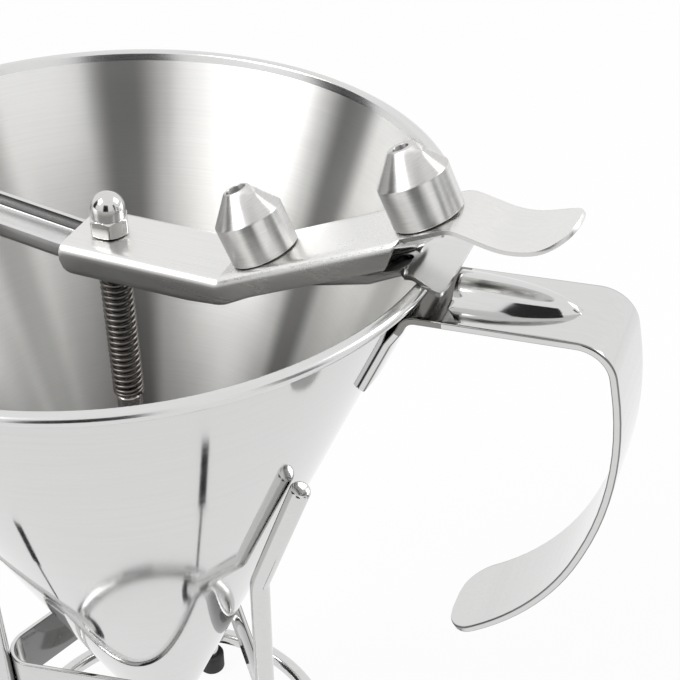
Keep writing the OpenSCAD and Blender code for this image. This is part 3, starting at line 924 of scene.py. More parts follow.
@dataclass
class Funnel(Assembly):
    """The cone with its rolled rim, the outlet hub under it and the nozzle on that."""

    hub_depth: float = 196.0
    hub_r: float = 9.4
    seat_depth: float = 203.2
    shoulder_z: float = -208.0
    spigot_end: float = -215.0
    bore_r: float = 4.5
    bead_r: float = 1.5
    rim_r: float = 94.96
    hem_z: float = -2.4
    lip_r: float = 91.75
    hem_tuck: Point2 = (92.15, -2.75)
    tuck_depth: float = 3.3
    collar_z: float = -203.04
    relief_r: float = 6.6
    spigot_tip_r: float = 6.3

    def shell(self) -> None:
        """Builds the cone: brushed inside, polished outside and on the rim."""
        bead = (self.rim_r - self.bead_r, -self.bead_r)
        depths = [self.hub_depth - (self.hub_depth + self.hem_z) * k / 12 for k in range(13)]
        inside = [(self.cone.outer(d) - self.cone.wall, -d) for d in depths]
        curl = fillet([inside[-1], (self.lip_r, 0.0), (bead[0], 0.0)], 1.1)
        rolled = arc(bead, self.bead_r, 90, -120)
        outside = [(self.cone.outer(d), -d) for d in [self.tuck_depth] + depths[-2::-1]]
        profile = inside[:-1] + curl + rolled[1:] + [self.hem_tuck] + outside
        brushed = len(inside) - 1
        rolled_end = brushed + len(curl) + len(rolled) - 2
        shell = revolve(profile, 256,
                        slot_of=lambda i: 1 if i < brushed else 2 if i < rolled_end else 0)
        steel = self.finishes
        self.report.fit(shell.to_object("cone_shell", [steel.outside, steel.inside, steel.rim]),
                        "funnel", "polished_sheet", "funnel_cone")

    def hub(self) -> None:
        """Builds the hub with its valve seat and threaded spigot."""
        top_r = self.cone.outer(self.hub_depth)
        seat = (self.cone.outer(self.seat_depth) - self.cone.wall, -self.seat_depth)
        profile = [(top_r - self.cone.wall, -self.hub_depth), (top_r, -self.hub_depth),
                   (self.hub_r, self.collar_z), (self.hub_r, self.shoulder_z),
                   (self.relief_r, self.shoulder_z)]
        profile += thread((CREST_R, ROOT_R), self.shoulder_z - 0.9, -HALF_PITCH)
        profile += [(self.spigot_tip_r, self.spigot_end), (self.bore_r, self.spigot_end),
                    (self.bore_r, seat[1] + self.bore_r - seat[0]), seat]
        self.report.fit(revolve(profile, 96).to_object("outlet_hub_turned",
                                                       [self.finishes.turned]),
                        "funnel", "polished_sheet", "outlet_hub")

    def build(self) -> None:
        """Builds the cone, the hub and the outlet's nozzle."""
        self.shell()
        self.hub()
        place = stand_on((0, 0, self.shoulder_z - 0.3), (0, 0, -1))
        turned = self.finishes.turned
        self.report.fit(Nozzle("outlet_nozzle_turned", 2.5).build(place, turned, turned),
                        "outlet_nozzle_body", "turned_steel", "outlet_nozzle")


PIVOT = stand_on((34.0, 0.0, -16.6), (0.0, 1.0, 0.0))


@dataclass
class Lever(Assembly):
    """The pressed lever: a downturned channel that runs on as the thumb tab."""

    width: float = 24.0
    sheet: float = 1.2
    edge_r: float = 2.8
    depth: float = 7.8
    rise_depth: float = 6.4
    tail_r: float = 3.6
    slant: float = 6.0
    web_top: float = -11.8
    tail: float = 9.5
    kink_x: float = 37.0
    rise_deg: float = 25.0
    rise_l: float = 67.7477
    channel_end: float = 54.5977
    tab_w: float = 20.5
    tab_dip: Point2 = (20.3, -4.6)
    tab_lift: Point2 = (8.3, 8.6)
    pin_r: float = 1.5

    def rise(self, s: float) -> Point2:
        """Returns the point of the rising web at a distance from the kink."""
        a = math.radians(self.rise_deg)
        return (self.kink_x + s * math.cos(a), self.web_top + s * math.sin(a))

    def on_rise(self, s: float, lift: float = 0.0) -> Matrix:
        """Finds the place of something that stands square on the rising web.

        Args:
            s: Its distance from the kink.
            lift: Its height over the web.

        Returns:
            The place, with +Z away from the web.
        """
        a = math.radians(self.rise_deg)
        x, z = self.rise(s)
        up = (-math.sin(a), 0.0, math.cos(a))
        return stand_on((x + up[0] * lift, 0.0, z + up[2] * lift), up)

    def flange_depth(self, s: float) -> float:
        """Finds how far the flanges hang below the web's top.

        Args:
            s: Distance along the lever from its tail.

        Returns:
            The depth in millimetres, or 0 beyond the channel's end.
        """
        kink_s = self.tail + self.kink_x
        left = kink_s + self.channel_end - s
        if s < self.tail_r:
            rounded = math.sqrt(max(self.tail_r ** 2 - (self.tail_r - s) ** 2, 0.0))
            return self.depth - self.tail_r + rounded
        if left > self.slant:
            share = clamp((s - kink_s + 8.0) / 16.0)
            return self.depth + (self.rise_depth - self.depth) * share
        return self.rise_depth * max(left, 0.0) / self.slant

    def section(self, s: float, to_tip: float) -> list[Point2]:
        """Finds the half section, from the middle of the web outwards.

        Args:
            s: Distance along the lever from its tail.
            to_tip: Distance along X to the tab's end.

        Returns:
            Points of (y, height over the web's top).
        """
        end = self.tail + self.kink_x + self.channel_end
        depth, half, steps, r = self.flange_depth(s), self.width / 2, 6, self.edge_r
        flat = half - r
        turned = arc((flat, -r), r, 90, 0, 15)
        if depth > r:
            down = [(half, -r - (depth - r) * k / 3) for k in (1, 2, 3)]
            return [(flat * k / steps, 0.0) for k in range(steps)] + turned + down
        edge = flat + (self.tab_w / 2 - flat) * clamp((s - end + r) / r)
        tip_r = self.tab_w * 0.42
        if to_tip < tip_r:
            edge -= tip_r - math.sqrt(max(tip_r ** 2 - (tip_r - to_tip) ** 2, 0.0))
        flat = min(flat, edge) if s < end else edge
        if s < end:
            widest = flat + (half - flat) * (depth / r) ** 0.5
            reach = [(min(y, widest), max(z, -depth)) for y, z in turned]
            reach += [(min(half, widest), -depth)] * 3
        else:
            reach = [(flat, 0.0)] * (len(turned) + 3)
        return [(flat * k / steps, 0.0) for k in range(steps)] + reach

    def channel(self) -> None:
        """Builds the lever's sheet, from its tail over the rod to the thumb tab."""
        arch = Vector(self.rise(self.rise_l))
        valley = arch + Vector(self.tab_dip)
        tip = valley + Vector(self.tab_lift)
        corners = [(-self.tail, self.web_top), (self.kink_x, self.web_top), tuple(arch),
                   tuple(valley), tuple(tip)]
        path = Path(resample(fillet(corners, [0, 3.0, 7.0, 20.0, 0], 5.0), 1.0))
        rows = []
        for i, p in enumerate(path.points):
            half = self.section(path.lengths[i], tip.x - p.x)
            rows.append(path.across(i, [(-y, z) for y, z in reversed(half)] + half[1:]))
        piece = Shell().add_grid(rows).to_object("lever_sheet", [self.finishes.lever])
        thicken(piece, (0.0, 0.0, 1.0), self.sheet, 0.28)
        self.report.fit(piece, "lever_body", "satin_sheet", "lever")

    def pin(self) -> None:
        """Builds the pivot pin, flush with the flanges."""
        half, r, soft = self.width / 2 - 0.1, self.pin_r, 0.3
        profile = [(0.0, -half), (r - soft, -half), (r, -half + soft), (r, half - soft),
                   (r - soft, half), (0.0, half)]
        shell = revolve(profile, 32, closed=False).moved(PIVOT)
        self.report.fit(shell.to_object("pivot_pin_turned", [self.finishes.lever]),
                        "lever_body", "satin_sheet", "pivot_pin")

    def spare(self, peg: str, nozzle: str, s: float, bore_r: float) -> None:
        """Builds a threaded peg and the spare nozzle on it.

        Args:
            peg: The peg's node.
            nozzle: The nozzle's node.
            s: The peg's distance from the kink.
            bore_r: The radius of the nozzle's bore.
        """
        profile = [(0.0, 0.0), (ROOT_R, 0.0)] + thread((ROOT_R, CREST_R), 0.6, HALF_PITCH)
        profile += [(6.4, 7.0), (0.0, 7.0)]
        shell = revolve(profile, 72, closed=False).moved(self.on_rise(s))
        self.report.fit(shell.to_object(peg + "_threaded", [self.finishes.turned]),
                        "lever_body", "turned_steel", peg)
        place = self.on_rise(s, 0.3)
        skirt, tip = self.finishes.nozzle(nozzle, place.translation, self.rise_deg)
        self.report.fit(Nozzle(nozzle + "_turned", bore_r).build(place, skirt, tip),
                        nozzle + "_body", "turned_steel", nozzle)

    def build(self) -> None:
        """Builds the lever's pieces and the two spare nozzles on it."""
        self.channel()
        self.pin()
        self.spare("inner_peg", "wide_nozzle", 10.6, 2.7)
        self.spare("outer_peg", "fine_nozzle", self.rise_l - 8.55, 2.0)


@dataclass
class Bridge(Assembly):
    """The upturned channel across the funnel, its plate on the rim and its knuckle."""

    width: float = 14.0
    sheet: float = 1.3
    corner_r: float = 1.8
    bottom: float = -20.4
    left_x: float = -86.0
    level_run: Point2 = (-8.0, 26.0)
    slope_foot: Point2 = (78.0, -6.4)
    slope_top_x: float = 90.0
    hole_shade_disc_z: float = -3.55
    lean: float = 0.131
    flare_x: float = 86.0
    flare: float = 0.6
    hole_x: float = 83.0
    hole_r: float = 4.0
    plate_end: float = 99.2
    plate_r: float = 2.6
    plate_w: float = 30.0
    depths: tuple[Point2, ...] = ((-95, 5.2), (8, 5.2), (26, 4.0), (46, 3.25), (78, 3.2),
                                  (83, 2.3), (90, 1.3))

    def depth(self, x: float) -> float:
        """Finds the channel's depth at a place along it.

        Args:
            x: The place along the bridge.

        Returns:
            The depth in millimetres.
        """
        for (x0, d0), (x1, d1) in zip(self.depths, self.depths[1:]):
            if x <= x1:
                return d0 + (d1 - d0) * max(x - x0, 0) / (x1 - x0)
        return self.depths[-1][1]

    def section(self, x: float) -> list[Point2]:
        """Finds the sheet's section at a place along the bridge.

        Args:
            x: The place along the bridge.

        Returns:
            Points of (y, height over the underside) from one side to the other.
        """
        half, steps, d = self.width / 2, 4, self.depth(x)
        if d > self.sheet + 0.4:
            r = min(self.corner_r, d * 0.9)
            line = [((half - r) * k / steps, 0.0) for k in range(steps)]
            line += arc((half - r, r), r, -90, 0, 15) + [(half, r + (d - r) / 2), (half, d)]
        else:
            last = max(x - self.plate_end + self.plate_r, 0.0)
            w = min(half + self.flare * max(x - self.flare_x, 0.0), self.plate_w / 2)
            w -= self.plate_r - math.sqrt(self.plate_r ** 2 - last ** 2)
            line = [(w * k / (steps + 8), 0.0) for k in range(steps + 9)]
        return [(-y, z) for y, z in reversed(line)] + line[1:]

    def channel(self) -> None:
        """Builds the channel from wall to rim, cut to the cone at its far end."""
        start, end_x = self.level_run
        corners = [(self.left_x, self.bottom + (start - self.left_x) * self.lean),
                   (start, self.bottom), (end_x, self.bottom), self.slope_foot,
                   (self.slope_top_x, 0.0), (self.plate_end, 0.0)]
        path = Path(resample(fillet(corners, [0, 12, 14, 6, 3, 0], 6.0), 0.75))
        rows = [path.across(i, self.section(p.x)) for i, p in enumerate(path.points)]
        end = [v.copy() for v in rows[0]]
        for v in end:
            while math.hypot(v.x, v.y) < self.cone.outer(-v.z) - self.cone.wall - 0.05:
                v += Vector((-0.05, 0.0, 0.05 * self.lean))
        piece = Shell().add_grid([end] + rows).to_object("bridge_channel",
                                                         [self.finishes.bridge])
        thicken(piece, (0.0, 0.0, -1.0), self.sheet, 0.25)
        drill(piece, (self.hole_x, 0.0, -12.0), self.hole_r, 16.0)
        self.report.fit(piece, "funnel", "polished_sheet", "bridge_bar")

    def hole_shade_disc(self) -> None:
        """Builds a dark disc in the hole in the plate's slope: painted shade where the hole's depth
        falls in shadow.
        """
        foot_x, foot_z = self.slope_foot
        slope = math.atan2(-foot_z, self.slope_top_x - foot_x)
        place = stand_on((self.hole_x, 0.0, self.hole_shade_disc_z),
                         (-math.sin(slope), 0.0, math.cos(slope)))
        shell = revolve(cylinder(self.hole_r + 0.1, 0.3), 40, closed=False).moved(place)
        self.report.fit(shell.to_object("plate_hole_shade_disc", [self.finishes.dark]),
                        "funnel", "satin_sheet", "bridge_bar")

    def knuckle(self) -> None:
        """Builds the tube under the bridge that holds the pivot pin."""
        half, outer, bore = 10.2, 2.7, 1.55
        corners = [(bore, -half), (outer, -half), (outer, half), (bore, half)]
        shell = revolve(fillet(corners, 0.3, 30.0, closed=True), 40).moved(PIVOT)
        self.report.fit(shell.to_object("bridge_knuckle", [self.finishes.lever]),
                        "funnel", "satin_sheet", "bridge_bar")

    def bush(self) -> None:
        """Builds the bush that guides the piston rod."""
        bore, outer, collar = 3.05, 4.6, 1.2
        low, top = self.bottom - collar, self.bottom + self.sheet + 1.6
        corners = [(bore, low), (outer + collar, low), (outer + collar, self.bottom),
                   (outer, self.bottom), (outer, top), (bore, top)]
        profile = fillet(corners, [0.2, 0.3, 0.2, 0.1, 0.3, 0.2], 30.0, closed=True)
        self.report.fit(revolve(profile, 64).to_object("guide_bush_turned",
                                                       [self.finishes.turned]),
                        "funnel", "turned_steel", "guide_bush")

    def build(self) -> None:
        """Builds the bridge's pieces."""
        self.channel()
        self.hole_shade_disc()
        self.knuckle()
        self.bush()


@dataclass
class Handle(Assembly):
    """The flat strap handle with its pressed rib."""

    width: float = 26.6
    sheet: float = 2.0
    foot_depth: float = 34.0
    root_x: float = 96.0
    drop: float = 8.0
    slope_deg: float = 4.7
    grip_reach: float = 145.9
    grip_depth: float = 117.0
    bend_back: float = 5.3
    end_back: float = 40.5
    bulge: Point2 = (3.9, -0.374)
    tuck: Point2 = (-14.5, -0.857)
    runs: tuple[float, ...] = (3.0, 9.0, 29.0, 28.0)
    rib_x: float = 99.4
    rib_l: float = 30.5
    rib_r: float = 7.0
    rib_end: float = 0.9
    edge_r: float = 0.5
    hug_z: float = -13.0

    def top_line(self, x: float) -> float:
        """Returns the height of the strap's straight top at x."""
        return -self.drop + (x - self.root_x) * math.tan(math.radians(self.slope_deg))

    def line(self) -> list[Point2]:
        """Finds the line of the strap's upper and outer face.

        Returns:
            Points of (x, z) from the foot on the cone to the free end.
        """
        slope, taper = math.tan(math.radians(self.slope_deg)), self.cone.taper
        root = (self.cone.top_r - self.root_x - self.drop * taper) / (1 - slope * taper)
        reach, deep, bend_x = self.grip_reach, self.grip_depth, self.grip_reach - self.bend_back
        corners = [(self.cone.outer(self.foot_depth), -self.foot_depth),
                   (self.root_x + root, -self.drop + root * slope),
                   (bend_x, self.top_line(bend_x)),
                   (reach + self.bulge[0], self.bulge[1] * deep),
                   (reach + self.tuck[0], self.tuck[1] * deep), (reach - self.end_back, -deep)]
        radii = [0.0]
        for i, run in enumerate(self.runs, 1):
            a, b, c = (Vector(corners[k]) for k in (i - 1, i, i + 1))
            radii.append(run / math.tan((b - a).angle(c - b) / 2))
        return fillet(corners, radii + [0.0], 3.0)

    def face(self, x: float, on_top: bool, w: float) -> list[Point2]:
        """Finds the strap's shown face, with the rib where the top is straight.

        Args:
            x: The place of the section along X.
            on_top: Whether the section lies in the straight top.
            w: Half the face's width there.

        Returns:
            Points of (y, lift) from one edge to the other.
        """
        t, sides = x - self.rib_x, 48
        round_r = self.rib_r * math.sqrt(max(1.0 - (max(t, 0.0) / self.rib_l) ** 2, 0.0))
        root = clamp((t + self.rib_end) / self.rib_end) if on_top else 0.0
        half = max(round_r, 1.2) if on_top else 0.45 * w
        flat = [(half + (w - half) * (1.0 - k / 7), 0.0) for k in range(7)]
        dome = []
        for k in range(sides + 1):
            turn = math.pi * k / sides
            y = -math.cos(turn) if on_top else 2 * k / sides - 1.0
            lift = 0.92 * round_r * root * math.sin(turn) ** 1.16 if 0 < k < sides else 0.0
            dome.append((half * y, lift))
        return [(-y, z) for y, z in flat] + dome + flat[::-1]

    def section(self, x: float, on_top: bool, w: float) -> list[Point2]:
        """Finds the strap's closed section with its rounded edges.

        Args:
            x: The place of the section along X.
            on_top: Whether the section lies in the straight top.
            w: Half the strap's width there.

        Returns:
            Points of (y, lift) round the section.
        """
        e, t = self.edge_r, self.sheet
        top = self.face(x, on_top, w - e)
        side = (arc((w - e, -e), e, 90, 0, 18) + arc((w - e, e - t), e, 0, -90, 18))[1:-1]
        return top + side + [(y, z - t) for y, z in reversed(top)] + [
            (-y, z) for y, z in reversed(side)]

    def build(self) -> None:
        """Builds the strap from its foot on the cone to its rounded free end."""
        path = Path(resample(self.line(), 0.7))
        half, tip_r = self.width / 2, self.width * 0.36
        root_end = self.rib_x - self.rib_end
        rows = []
        for i, p in enumerate(path.points):
            left = path.lengths[-1] - path.lengths[i]
            w = half
            if left < tip_r:
                w = half - tip_r + math.sqrt(max(tip_r ** 2 - (tip_r - left) ** 2, 0.0))
            on_top = (root_end - 0.7 < p.x < self.rib_x + self.rib_l + 3.0
                      and p.y > self.top_line(p.x) - 1)
            row = path.across(i, self.section(p.x, on_top, w))
            if p.y < self.hug_z and p.x < self.root_x:
                hug, r = clamp((self.hug_z - p.y) / 5.0), self.cone.outer(-p.y)
                for v in row:
                    v.x += (math.sqrt(r * r - v.y * v.y) - r) * hug
            rows.append(row)
        # Rows of the root bend under the rim take the second finish, a painted shadow.
        sheet = Shell().add_tube(rows, lambda i: int(path.points[i].x < root_end
                                                     and path.points[i].y > self.hug_z - 1.0))
        piece = sheet.to_object("handle_strap_bent", [self.finishes.sheet, self.finishes.root])
        self.report.fit(piece, "funnel", "polished_sheet", "handle_strap")


@dataclass
class Piston(Assembly):
    """The sprung rod with its acorn nut and valve plug, and the return spring."""

    rod_r: float = 3.0
    lower_r: float = 3.75
    neck_r: float = 2.5
    shoulder: float = -67.4
    plug_top: float = -195.93
    neck_l: float = 6.0
    plug_r: float = 7.2
    plug_z: float = -203.93
    nut_base: float = -11.5
    nut_h: float = 12.0
    nut_af: float = 10.0
    spring_r: float = 4.05
    spring_top: float = -21.65
    stroke: float = 6.0
    wire_r: float = 0.55
    curls: int = 24
    close_curls: int = 2
    close_pitch: float = 1.3

    def rod(self) -> None:
        """Builds the rod down to the plug."""
        top, neck_end = self.nut_base + self.nut_h * 0.66, self.plug_top - self.neck_l
        profile = [(0.0, top), (self.rod_r - 0.6, top), (self.rod_r, top - 0.6),
                   (self.rod_r, self.shoulder), (self.lower_r - 0.3, self.shoulder),
                   (self.lower_r, self.shoulder - 0.3), (self.lower_r, self.plug_top),
                   (self.neck_r, self.plug_top), (self.neck_r, neck_end), (0.0, neck_end)]
        shell = revolve(profile, 64, closed=False)
        self.report.fit(shell.to_object("piston_rod_turned", [self.finishes.rod]),
                        "piston", "rod_steel", "piston_rod")

    def plug(self) -> None:
        """Builds the valve plug."""
        wide, reach, neck_end = self.plug_z, 3.0, self.plug_top - self.neck_l
        outer = fillet([(self.neck_r, self.plug_top), (self.lower_r, self.plug_top),
                        (self.plug_r, wide + 2), (self.plug_r, wide),
                        (self.plug_r - reach, wide - reach), (3.0, wide - reach - 2),
                        (0.0, wide - reach - 2)], [0, 0.3, 0.5, 0.3, 0.3, 0.5, 0], 15.0)
        shell = revolve(outer + [(0.0, neck_end), (self.neck_r, neck_end)], 64)
        self.report.fit(shell.to_object("valve_plug_turned", [self.finishes.turned]),
                        "piston", "turned_steel", "valve_plug")

    def hexagon(self, z: float, limit: float, segments: int) -> list[Vector]:
        """Finds a level ring of the nut's hexagon, cut to a circle.

        Args:
            z: The ring's height.
            limit: The circle's radius.
            segments: How many points the ring has.

        Returns:
            The ring's points.
        """
        flat, sixth, row = self.nut_af / 2, math.pi / 6, []
        for k in range(segments):
            t = FULL_TURN * k / segments
            off = t % (2 * sixth) - sixth
            r = min(flat / math.cos(off), flat / math.cos(sixth) - 0.15, limit)
            row.append(Vector((r * math.cos(t), r * math.sin(t), z)))
        return row

    def nut(self) -> None:
        """Builds the acorn nut: a chamfered hexagon under a polished dome."""
        hex_h, dome_r, segments, steps = self.nut_h * 0.42, self.nut_af * 0.475, 120, 8
        low, high, chamfer = hex_h * 0.28, hex_h * 0.22, 1.7
        levels = [(low * k / steps, 4.75 + low * k / steps * chamfer) for k in range(steps + 1)]
        levels += [(hex_h * 0.5, 9.0)]
        levels += [(hex_h - high * k / steps, 4.95 + high * k / steps * chamfer)
                   for k in range(steps, -1, -1)]
        rows = [circle(self.rod_r + 0.05, self.nut_base, segments)]
        rows += [self.hexagon(self.nut_base + z, limit, segments) for z, limit in levels]
        hex_top = self.nut_base + hex_h
        dome = [(dome_r + 0.02, hex_top), (dome_r, hex_top + 0.3)]
        dome += arc((0.0, self.nut_base + self.nut_h - dome_r), dome_r, 0, 90, 6)[:-1]
        rows += [circle(r, z, segments) for r, z in dome]
        self.report.fit(Shell().add_tube(rows).to_object("acorn_nut_domed",
                                                         [self.finishes.nut], 32.0),
                        "piston", "turned_steel", "acorn_nut")

    def spring(self) -> None:
        """Winds the return spring between the bush and the rod's shoulder."""
        low = self.shoulder + 0.05
        span, closed = self.spring_top - low - 2 * self.wire_r, 2 * self.close_curls
        open_pitch = (span - closed * self.close_pitch) / (self.curls - closed)
        wound = Shell([Vector()]).to_object("return_spring_wound", [self.finishes.wire])
        coil_tree().run(wound, {
            "Curls": float(self.curls), "Steps": 24, "Radius": self.spring_r * MM,
            "Wire": self.wire_r * MM * 1.03, "Sides": 12, "Close Curls": float(self.close_curls),
            "Close Pitch": self.close_pitch * MM, "Open Pitch": open_pitch * MM,
            "Base": tuple(TO_FRAME @ Vector((0.0, 0.0, low + self.wire_r))),
            "Material": self.finishes.wire})
        self.report.fit(wound, "funnel", "spring_steel", "return_spring")
        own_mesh(wound)

    def build(self) -> None:
        """Builds the piston's pieces."""
        self.rod()
        self.plug()
        self.nut()
        self.spring()


@dataclass
class Stand(Assembly):
    """The three-legged rod stand with its strip hoop, base ring and feet."""

    leg_r: float = 52.025
    rod_r: float = 3.0
    turn_deg: float = -20.0
    bend_z: float = -112.0
    prong_z: float = -64.0
    hoop_z: tuple[float, float] = (-185.0, -165.0)
    hoop_t: float = 1.5
    corner_r: float = 8.0
    foot_h: float = 8.0
    foot_r: float = 5.0
    rod_foot: float = 1.5
    ring_z: float = 12.0

    def repeat(self, array: Tree, shell: Shell, name: str, finish: Material, slot: str,
               part: str) -> None:
        """Turns a shell to the first leg and repeats it about the stand's axis.

        Args:
            array: The tree that repeats it.
            shell: The shell, made for a leg along +X.
            name: The piece's name.
            finish: Its material.
            slot: The record's material slot.
            part: The nodes' common word: leg or foot.
        """
        turned = Matrix.Rotation(math.radians(self.turn_deg), 4, "Z")
        piece = shell.moved(turned).to_object(name, [finish])
        array.run(piece, {"Count": 3, "Centre": (AXIS_X * MM, 0.0, 0.0), "Material": finish})
        self.report.fit(piece, "stand", slot, "right_" + part, "rear_" + part, "left_" + part)

    def leg(self) -> Shell:
        """Builds one bent leg with its rounded upper end.

        Returns:
            The leg's shell.
        """
        lean = math.atan(self.cone.taper)
        prong_r = self.cone.outer(-self.prong_z) + (self.rod_r + 0.3) / math.cos(lean)
        path = Path(fillet([(self.leg_r, self.rod_foot - RIM_Z), (self.leg_r, self.bend_z),
                            (prong_r, self.prong_z)], [0, 12, 0], 3.0))
        ring = [(v.y, v.x) for v in circle(self.rod_r, 0.0, 32)]
        last = len(path.points) - 1
        rows = [path.across(i, ring) for i in range(last)]
        along = (path.points[last] - path.points[last - 1]).normalized()
        for share, back in ((1.0, 0.9), (0.94, 0.4), (0.80, 0.08), (0.7, 0.0)):
            step = Vector((along.x, 0.0, along.y)) * back
            rows.append([v - step for v in path.across(last, [(y * share, z * share)
                                                              for y, z in ring])])
        return Shell().add_tube(rows)

    def foot(self) -> Shell:
        """Builds one rubber foot round the lower end of a leg.

        Returns:
            The foot's shell.
        """
        low, top, hole = -RIM_Z, self.foot_h - RIM_Z, self.rod_foot - RIM_Z
        profile = fillet([(0.0, hole), (self.rod_r, hole), (self.rod_r, top), (self.foot_r, top),
                          (self.foot_r, low), (0.0, low)], [0, 0, 0.4, 0.8, 0.6, 0], 15.0)
        return revolve(profile, 48, closed=False).moved(Matrix.Translation((self.leg_r, 0, 0)))

    def hoop(self) -> None:
        """Builds the flat strip hoop, bent round the legs."""
        half, (low, high) = self.hoop_t / 2, self.hoop_z
        side_r = self.leg_r - self.rod_r - half - self.corner_r
        section = fillet([(-half, low), (half, low), (half, high), (-half, high)], 0.3, 30.0,
                         closed=True)
        rows = []
        for k in range(3):
            base = math.radians(self.turn_deg + 120 * k)
            x, y = side_r * math.cos(base), side_r * math.sin(base)
            for m in range(17):
                a = base + math.radians(-60 + 7.5 * m)
                rows.append([Vector((x + (self.corner_r + off) * math.cos(a),
                                     y + (self.corner_r + off) * math.sin(a), z))
                             for off, z in section])
        shell = Shell().add_grid(rows, loop_rows=True, loop_columns=True)
        self.report.fit(shell.to_object("stand_hoop_strip", [self.finishes.sheet]),
                        "stand", "polished_sheet", "stand_hoop")

    def ring(self) -> None:
        """Builds the base ring outside the legs."""
        middle = (self.leg_r + 2 * self.rod_r, self.ring_z - RIM_Z)
        shell = revolve(arc(middle, self.rod_r, 0, 345, 15), 160)
        self.report.fit(shell.to_object("stand_ring_bent", [self.finishes.leg]),
                        "stand", "rod_steel", "stand_ring")

    def build(self) -> None:
        """Builds the stand's pieces."""
        array, steel = round_array_tree(), self.finishes
        self.repeat(array, self.leg(), "stand_legs", steel.leg, "rod_steel", "leg")
        self.repeat(array, self.foot(), "stand_feet", steel.rubber, "foot_rubber", "foot")
        self.hoop()
        self.ring()


# ---- Studio ---------------------------------------------------------------------


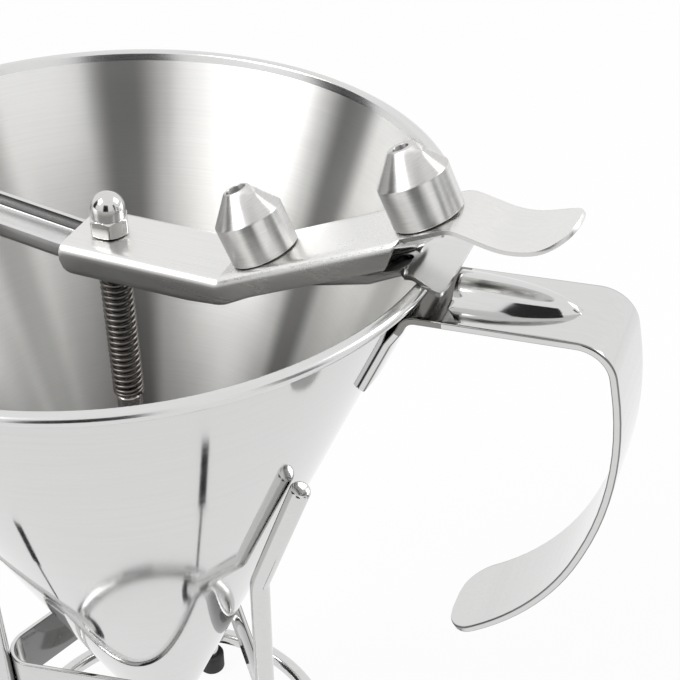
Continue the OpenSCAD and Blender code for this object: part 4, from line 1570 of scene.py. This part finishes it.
@dataclass
class Studio:
    """The camera, the white floor, the lamps and the grey sheets that metal mirrors."""

    eye: tuple[float, float, float] = (173.4, -267.0, 179.14)
    pitch_deg: float = 36.093
    heading_deg: float = 21.648
    focal_px: float = 1336.3
    frame_px: float = 680.0
    sensor: float = 36.0
    card_reach: float = 1300.0
    floor_half: float = 6.0
    soft_light: float = 0.62
    lamp_size: float = 0.8

    def camera(self) -> None:
        """Makes the camera of the photograph and sets it."""
        data = bpy.data.cameras.new("camera")
        data.sensor_width = self.sensor
        data.lens = self.sensor * self.focal_px / self.frame_px
        data.clip_start = 0.01
        camera = add_object("camera", data)
        camera.location = TO_FRAME @ Vector(self.eye)
        camera.rotation_euler = (math.radians(90.0 - self.pitch_deg), 0.0,
                                 math.radians(self.heading_deg))
        bpy.context.scene.camera = camera

    def floor(self) -> None:
        """Makes the white floor, which keeps a faint shadow."""
        kit = MaterialKit("floor_white")
        path = kit.add("LightPath").outputs
        seen = kit.math("MAXIMUM", path["Is Camera Ray"], path["Is Glossy Ray"])
        seen = kit.math("MAXIMUM", seen, path["Is Transmission Ray"])
        lit = kit.out("BsdfDiffuse", {"Color": (0.86, 0.86, 0.86, 1.0)})
        glow = kit.out("Emission", {"Color": (1.0, 1.0, 1.0, 1.0), "Strength": 1.0})
        kit.output(kit.out("MixShader", {0: kit.math("MULTIPLY", seen, 0.93), 1: lit, 2: glow}))
        mesh = bpy.data.meshes.new("floor")
        size = self.floor_half
        mesh.from_pydata([(-size, -size, 0), (size, -size, 0), (size, size, 0), (-size, size, 0)],
                         [], [(0, 1, 2, 3)])
        mesh.materials.append(kit.material)
        floor = add_object("floor", mesh)

    def world(self) -> None:
        """Sets the plain world: white where it is seen, soft grey as light."""
        world = bpy.data.worlds.new("studio")
        bpy.context.scene.world = world
        world.use_nodes = True
        kit = NodeKit(world.node_tree)
        path = kit.add("LightPath").outputs
        seen = kit.math("MAXIMUM", path["Is Camera Ray"], path["Is Glossy Ray"])
        soft, white = (kit.out("Background", {0: (grey, grey, grey, 1.0)})
                       for grey in (self.soft_light, 1.0))
        kit.add("OutputWorld", {0: kit.out("MixShader", {0: seen, 1: soft, 2: white})})

    def card(self, name: str, azimuth: float, width: float, high: float, shade: float) -> None:
        """Stands a plain card beside the object, seen only in reflections.

        Args:
            name: The card's name.
            azimuth: The direction of its middle from the funnel's axis, in degrees.
            width: The angle that it spans across, in degrees.
            high: The angle of its upper edge above the rim, in degrees.
            shade: Its grey.
        """
        reach, low = self.card_reach, -8.0
        turn = Matrix.Rotation(math.radians(azimuth), 4, "Z")
        half = reach * math.tan(math.radians(width / 2))
        self.dark_sheet(name, [[turn @ Vector((reach, y, reach * math.tan(math.radians(a))))
                                for y in (-half, half)] for a in (low, high)], shade)

    def strip(self, name: str, line: Sequence[Point2], width: float, shade: float) -> None:
        """Lays a dark strip just over the floor, seen only in reflections.

        Args:
            name: The strip's name.
            line: Its middle line in millimetres.
            width: Its width in millimetres.
            shade: Its grey.
        """
        path, level, rows = Path(line), 1.0 - RIM_Z, []
        for i, p in enumerate(path.points):
            n = path.normal(i) * width / 2
            rows.append([Vector((p.x + n.x * k, p.y + n.y * k, level)) for k in (-1, 1)])
        self.dark_sheet(name, rows, shade)

    def dark_sheet(self, name: str, rows: Sequence[Sequence[Vector]], shade: float) -> None:
        """Makes a plain grey sheet that only reflections show.

        Args:
            name: The sheet's name.
            rows: Its points in millimetres.
            shade: Its grey.
        """
        kit = MaterialKit(name)
        kit.output(kit.out("Emission", {"Color": (shade, shade, shade, 1.0)}))
        card = Shell().add_grid(rows).to_object(name, [kit.material])
        for kind in ("camera", "diffuse", "shadow", "transmission"):
            setattr(card, "visible_" + kind, False)

    def lamp(self, name: str, place: Sequence[float], power: float) -> None:
        """Hangs a square soft lamp that faces the object.

        Args:
            name: The lamp's name.
            place: Its place in metres.
            power: Its power in watts.
        """
        data = bpy.data.lights.new(name, "AREA")
        data.shape = "SQUARE"
        data.size = self.lamp_size
        data.energy = power
        lamp = add_object(name, data)
        lamp.location = place
        aim = Vector((AXIS_X * MM, 0.0, 0.2)) - Vector(place)
        lamp.rotation_euler = aim.to_track_quat("-Z", "Y").to_euler()

    def build(self) -> None:
        """Sets up everything around the object."""
        self.camera()
        self.floor()
        self.world()
        self.card("dark_card_front", -71.0, 34.0, 44.0, 0.03)
        self.card("dark_card_side", -156.5, 25.0, 44.0, 0.03)
        self.card("dark_card_right", -10.0, 14.0, 35.0, 0.18)
        self.strip("dark_strip_right", ((103.1, -41.6), (81.0, -27.0)), 7.5, 0.02)
        self.strip("thin_strip_right", ((81.0, -27.0), (62.2, -15.7), (52.1, -9.1)), 2.6, 0.22)
        self.strip("dark_strip_left", ((-81.5, -69.5), (-77.6, -47.0)), 7.0, 0.02)
        self.strip("thin_strip_left", ((-77.6, -47.0), (-71.3, -26.0), (-63.7, -18.3)), 2.6, 0.15)
        self.lamp("key_lamp", (-0.9, -0.7, 1.5), 14.0)
        self.lamp("fill_lamp", (1.1, 0.9, 1.3), 9.0)
        bpy.context.scene.view_settings.view_transform = "Standard"


def main() -> None:
    """Builds the studio and every sub-assembly in order."""
    logging.basicConfig(level=logging.INFO, format="%(name)s: %(message)s")
    Studio().build()
    finishes, report = Finishes(), Report()
    for assembly in (Funnel, Bridge, Handle, Lever, Piston, Stand):
        assembly(finishes, report).build()
    LOG.info("%d pieces stand for %d nodes", report.count, len(frame["nodes"]))


if __name__ == "__main__":
    main()
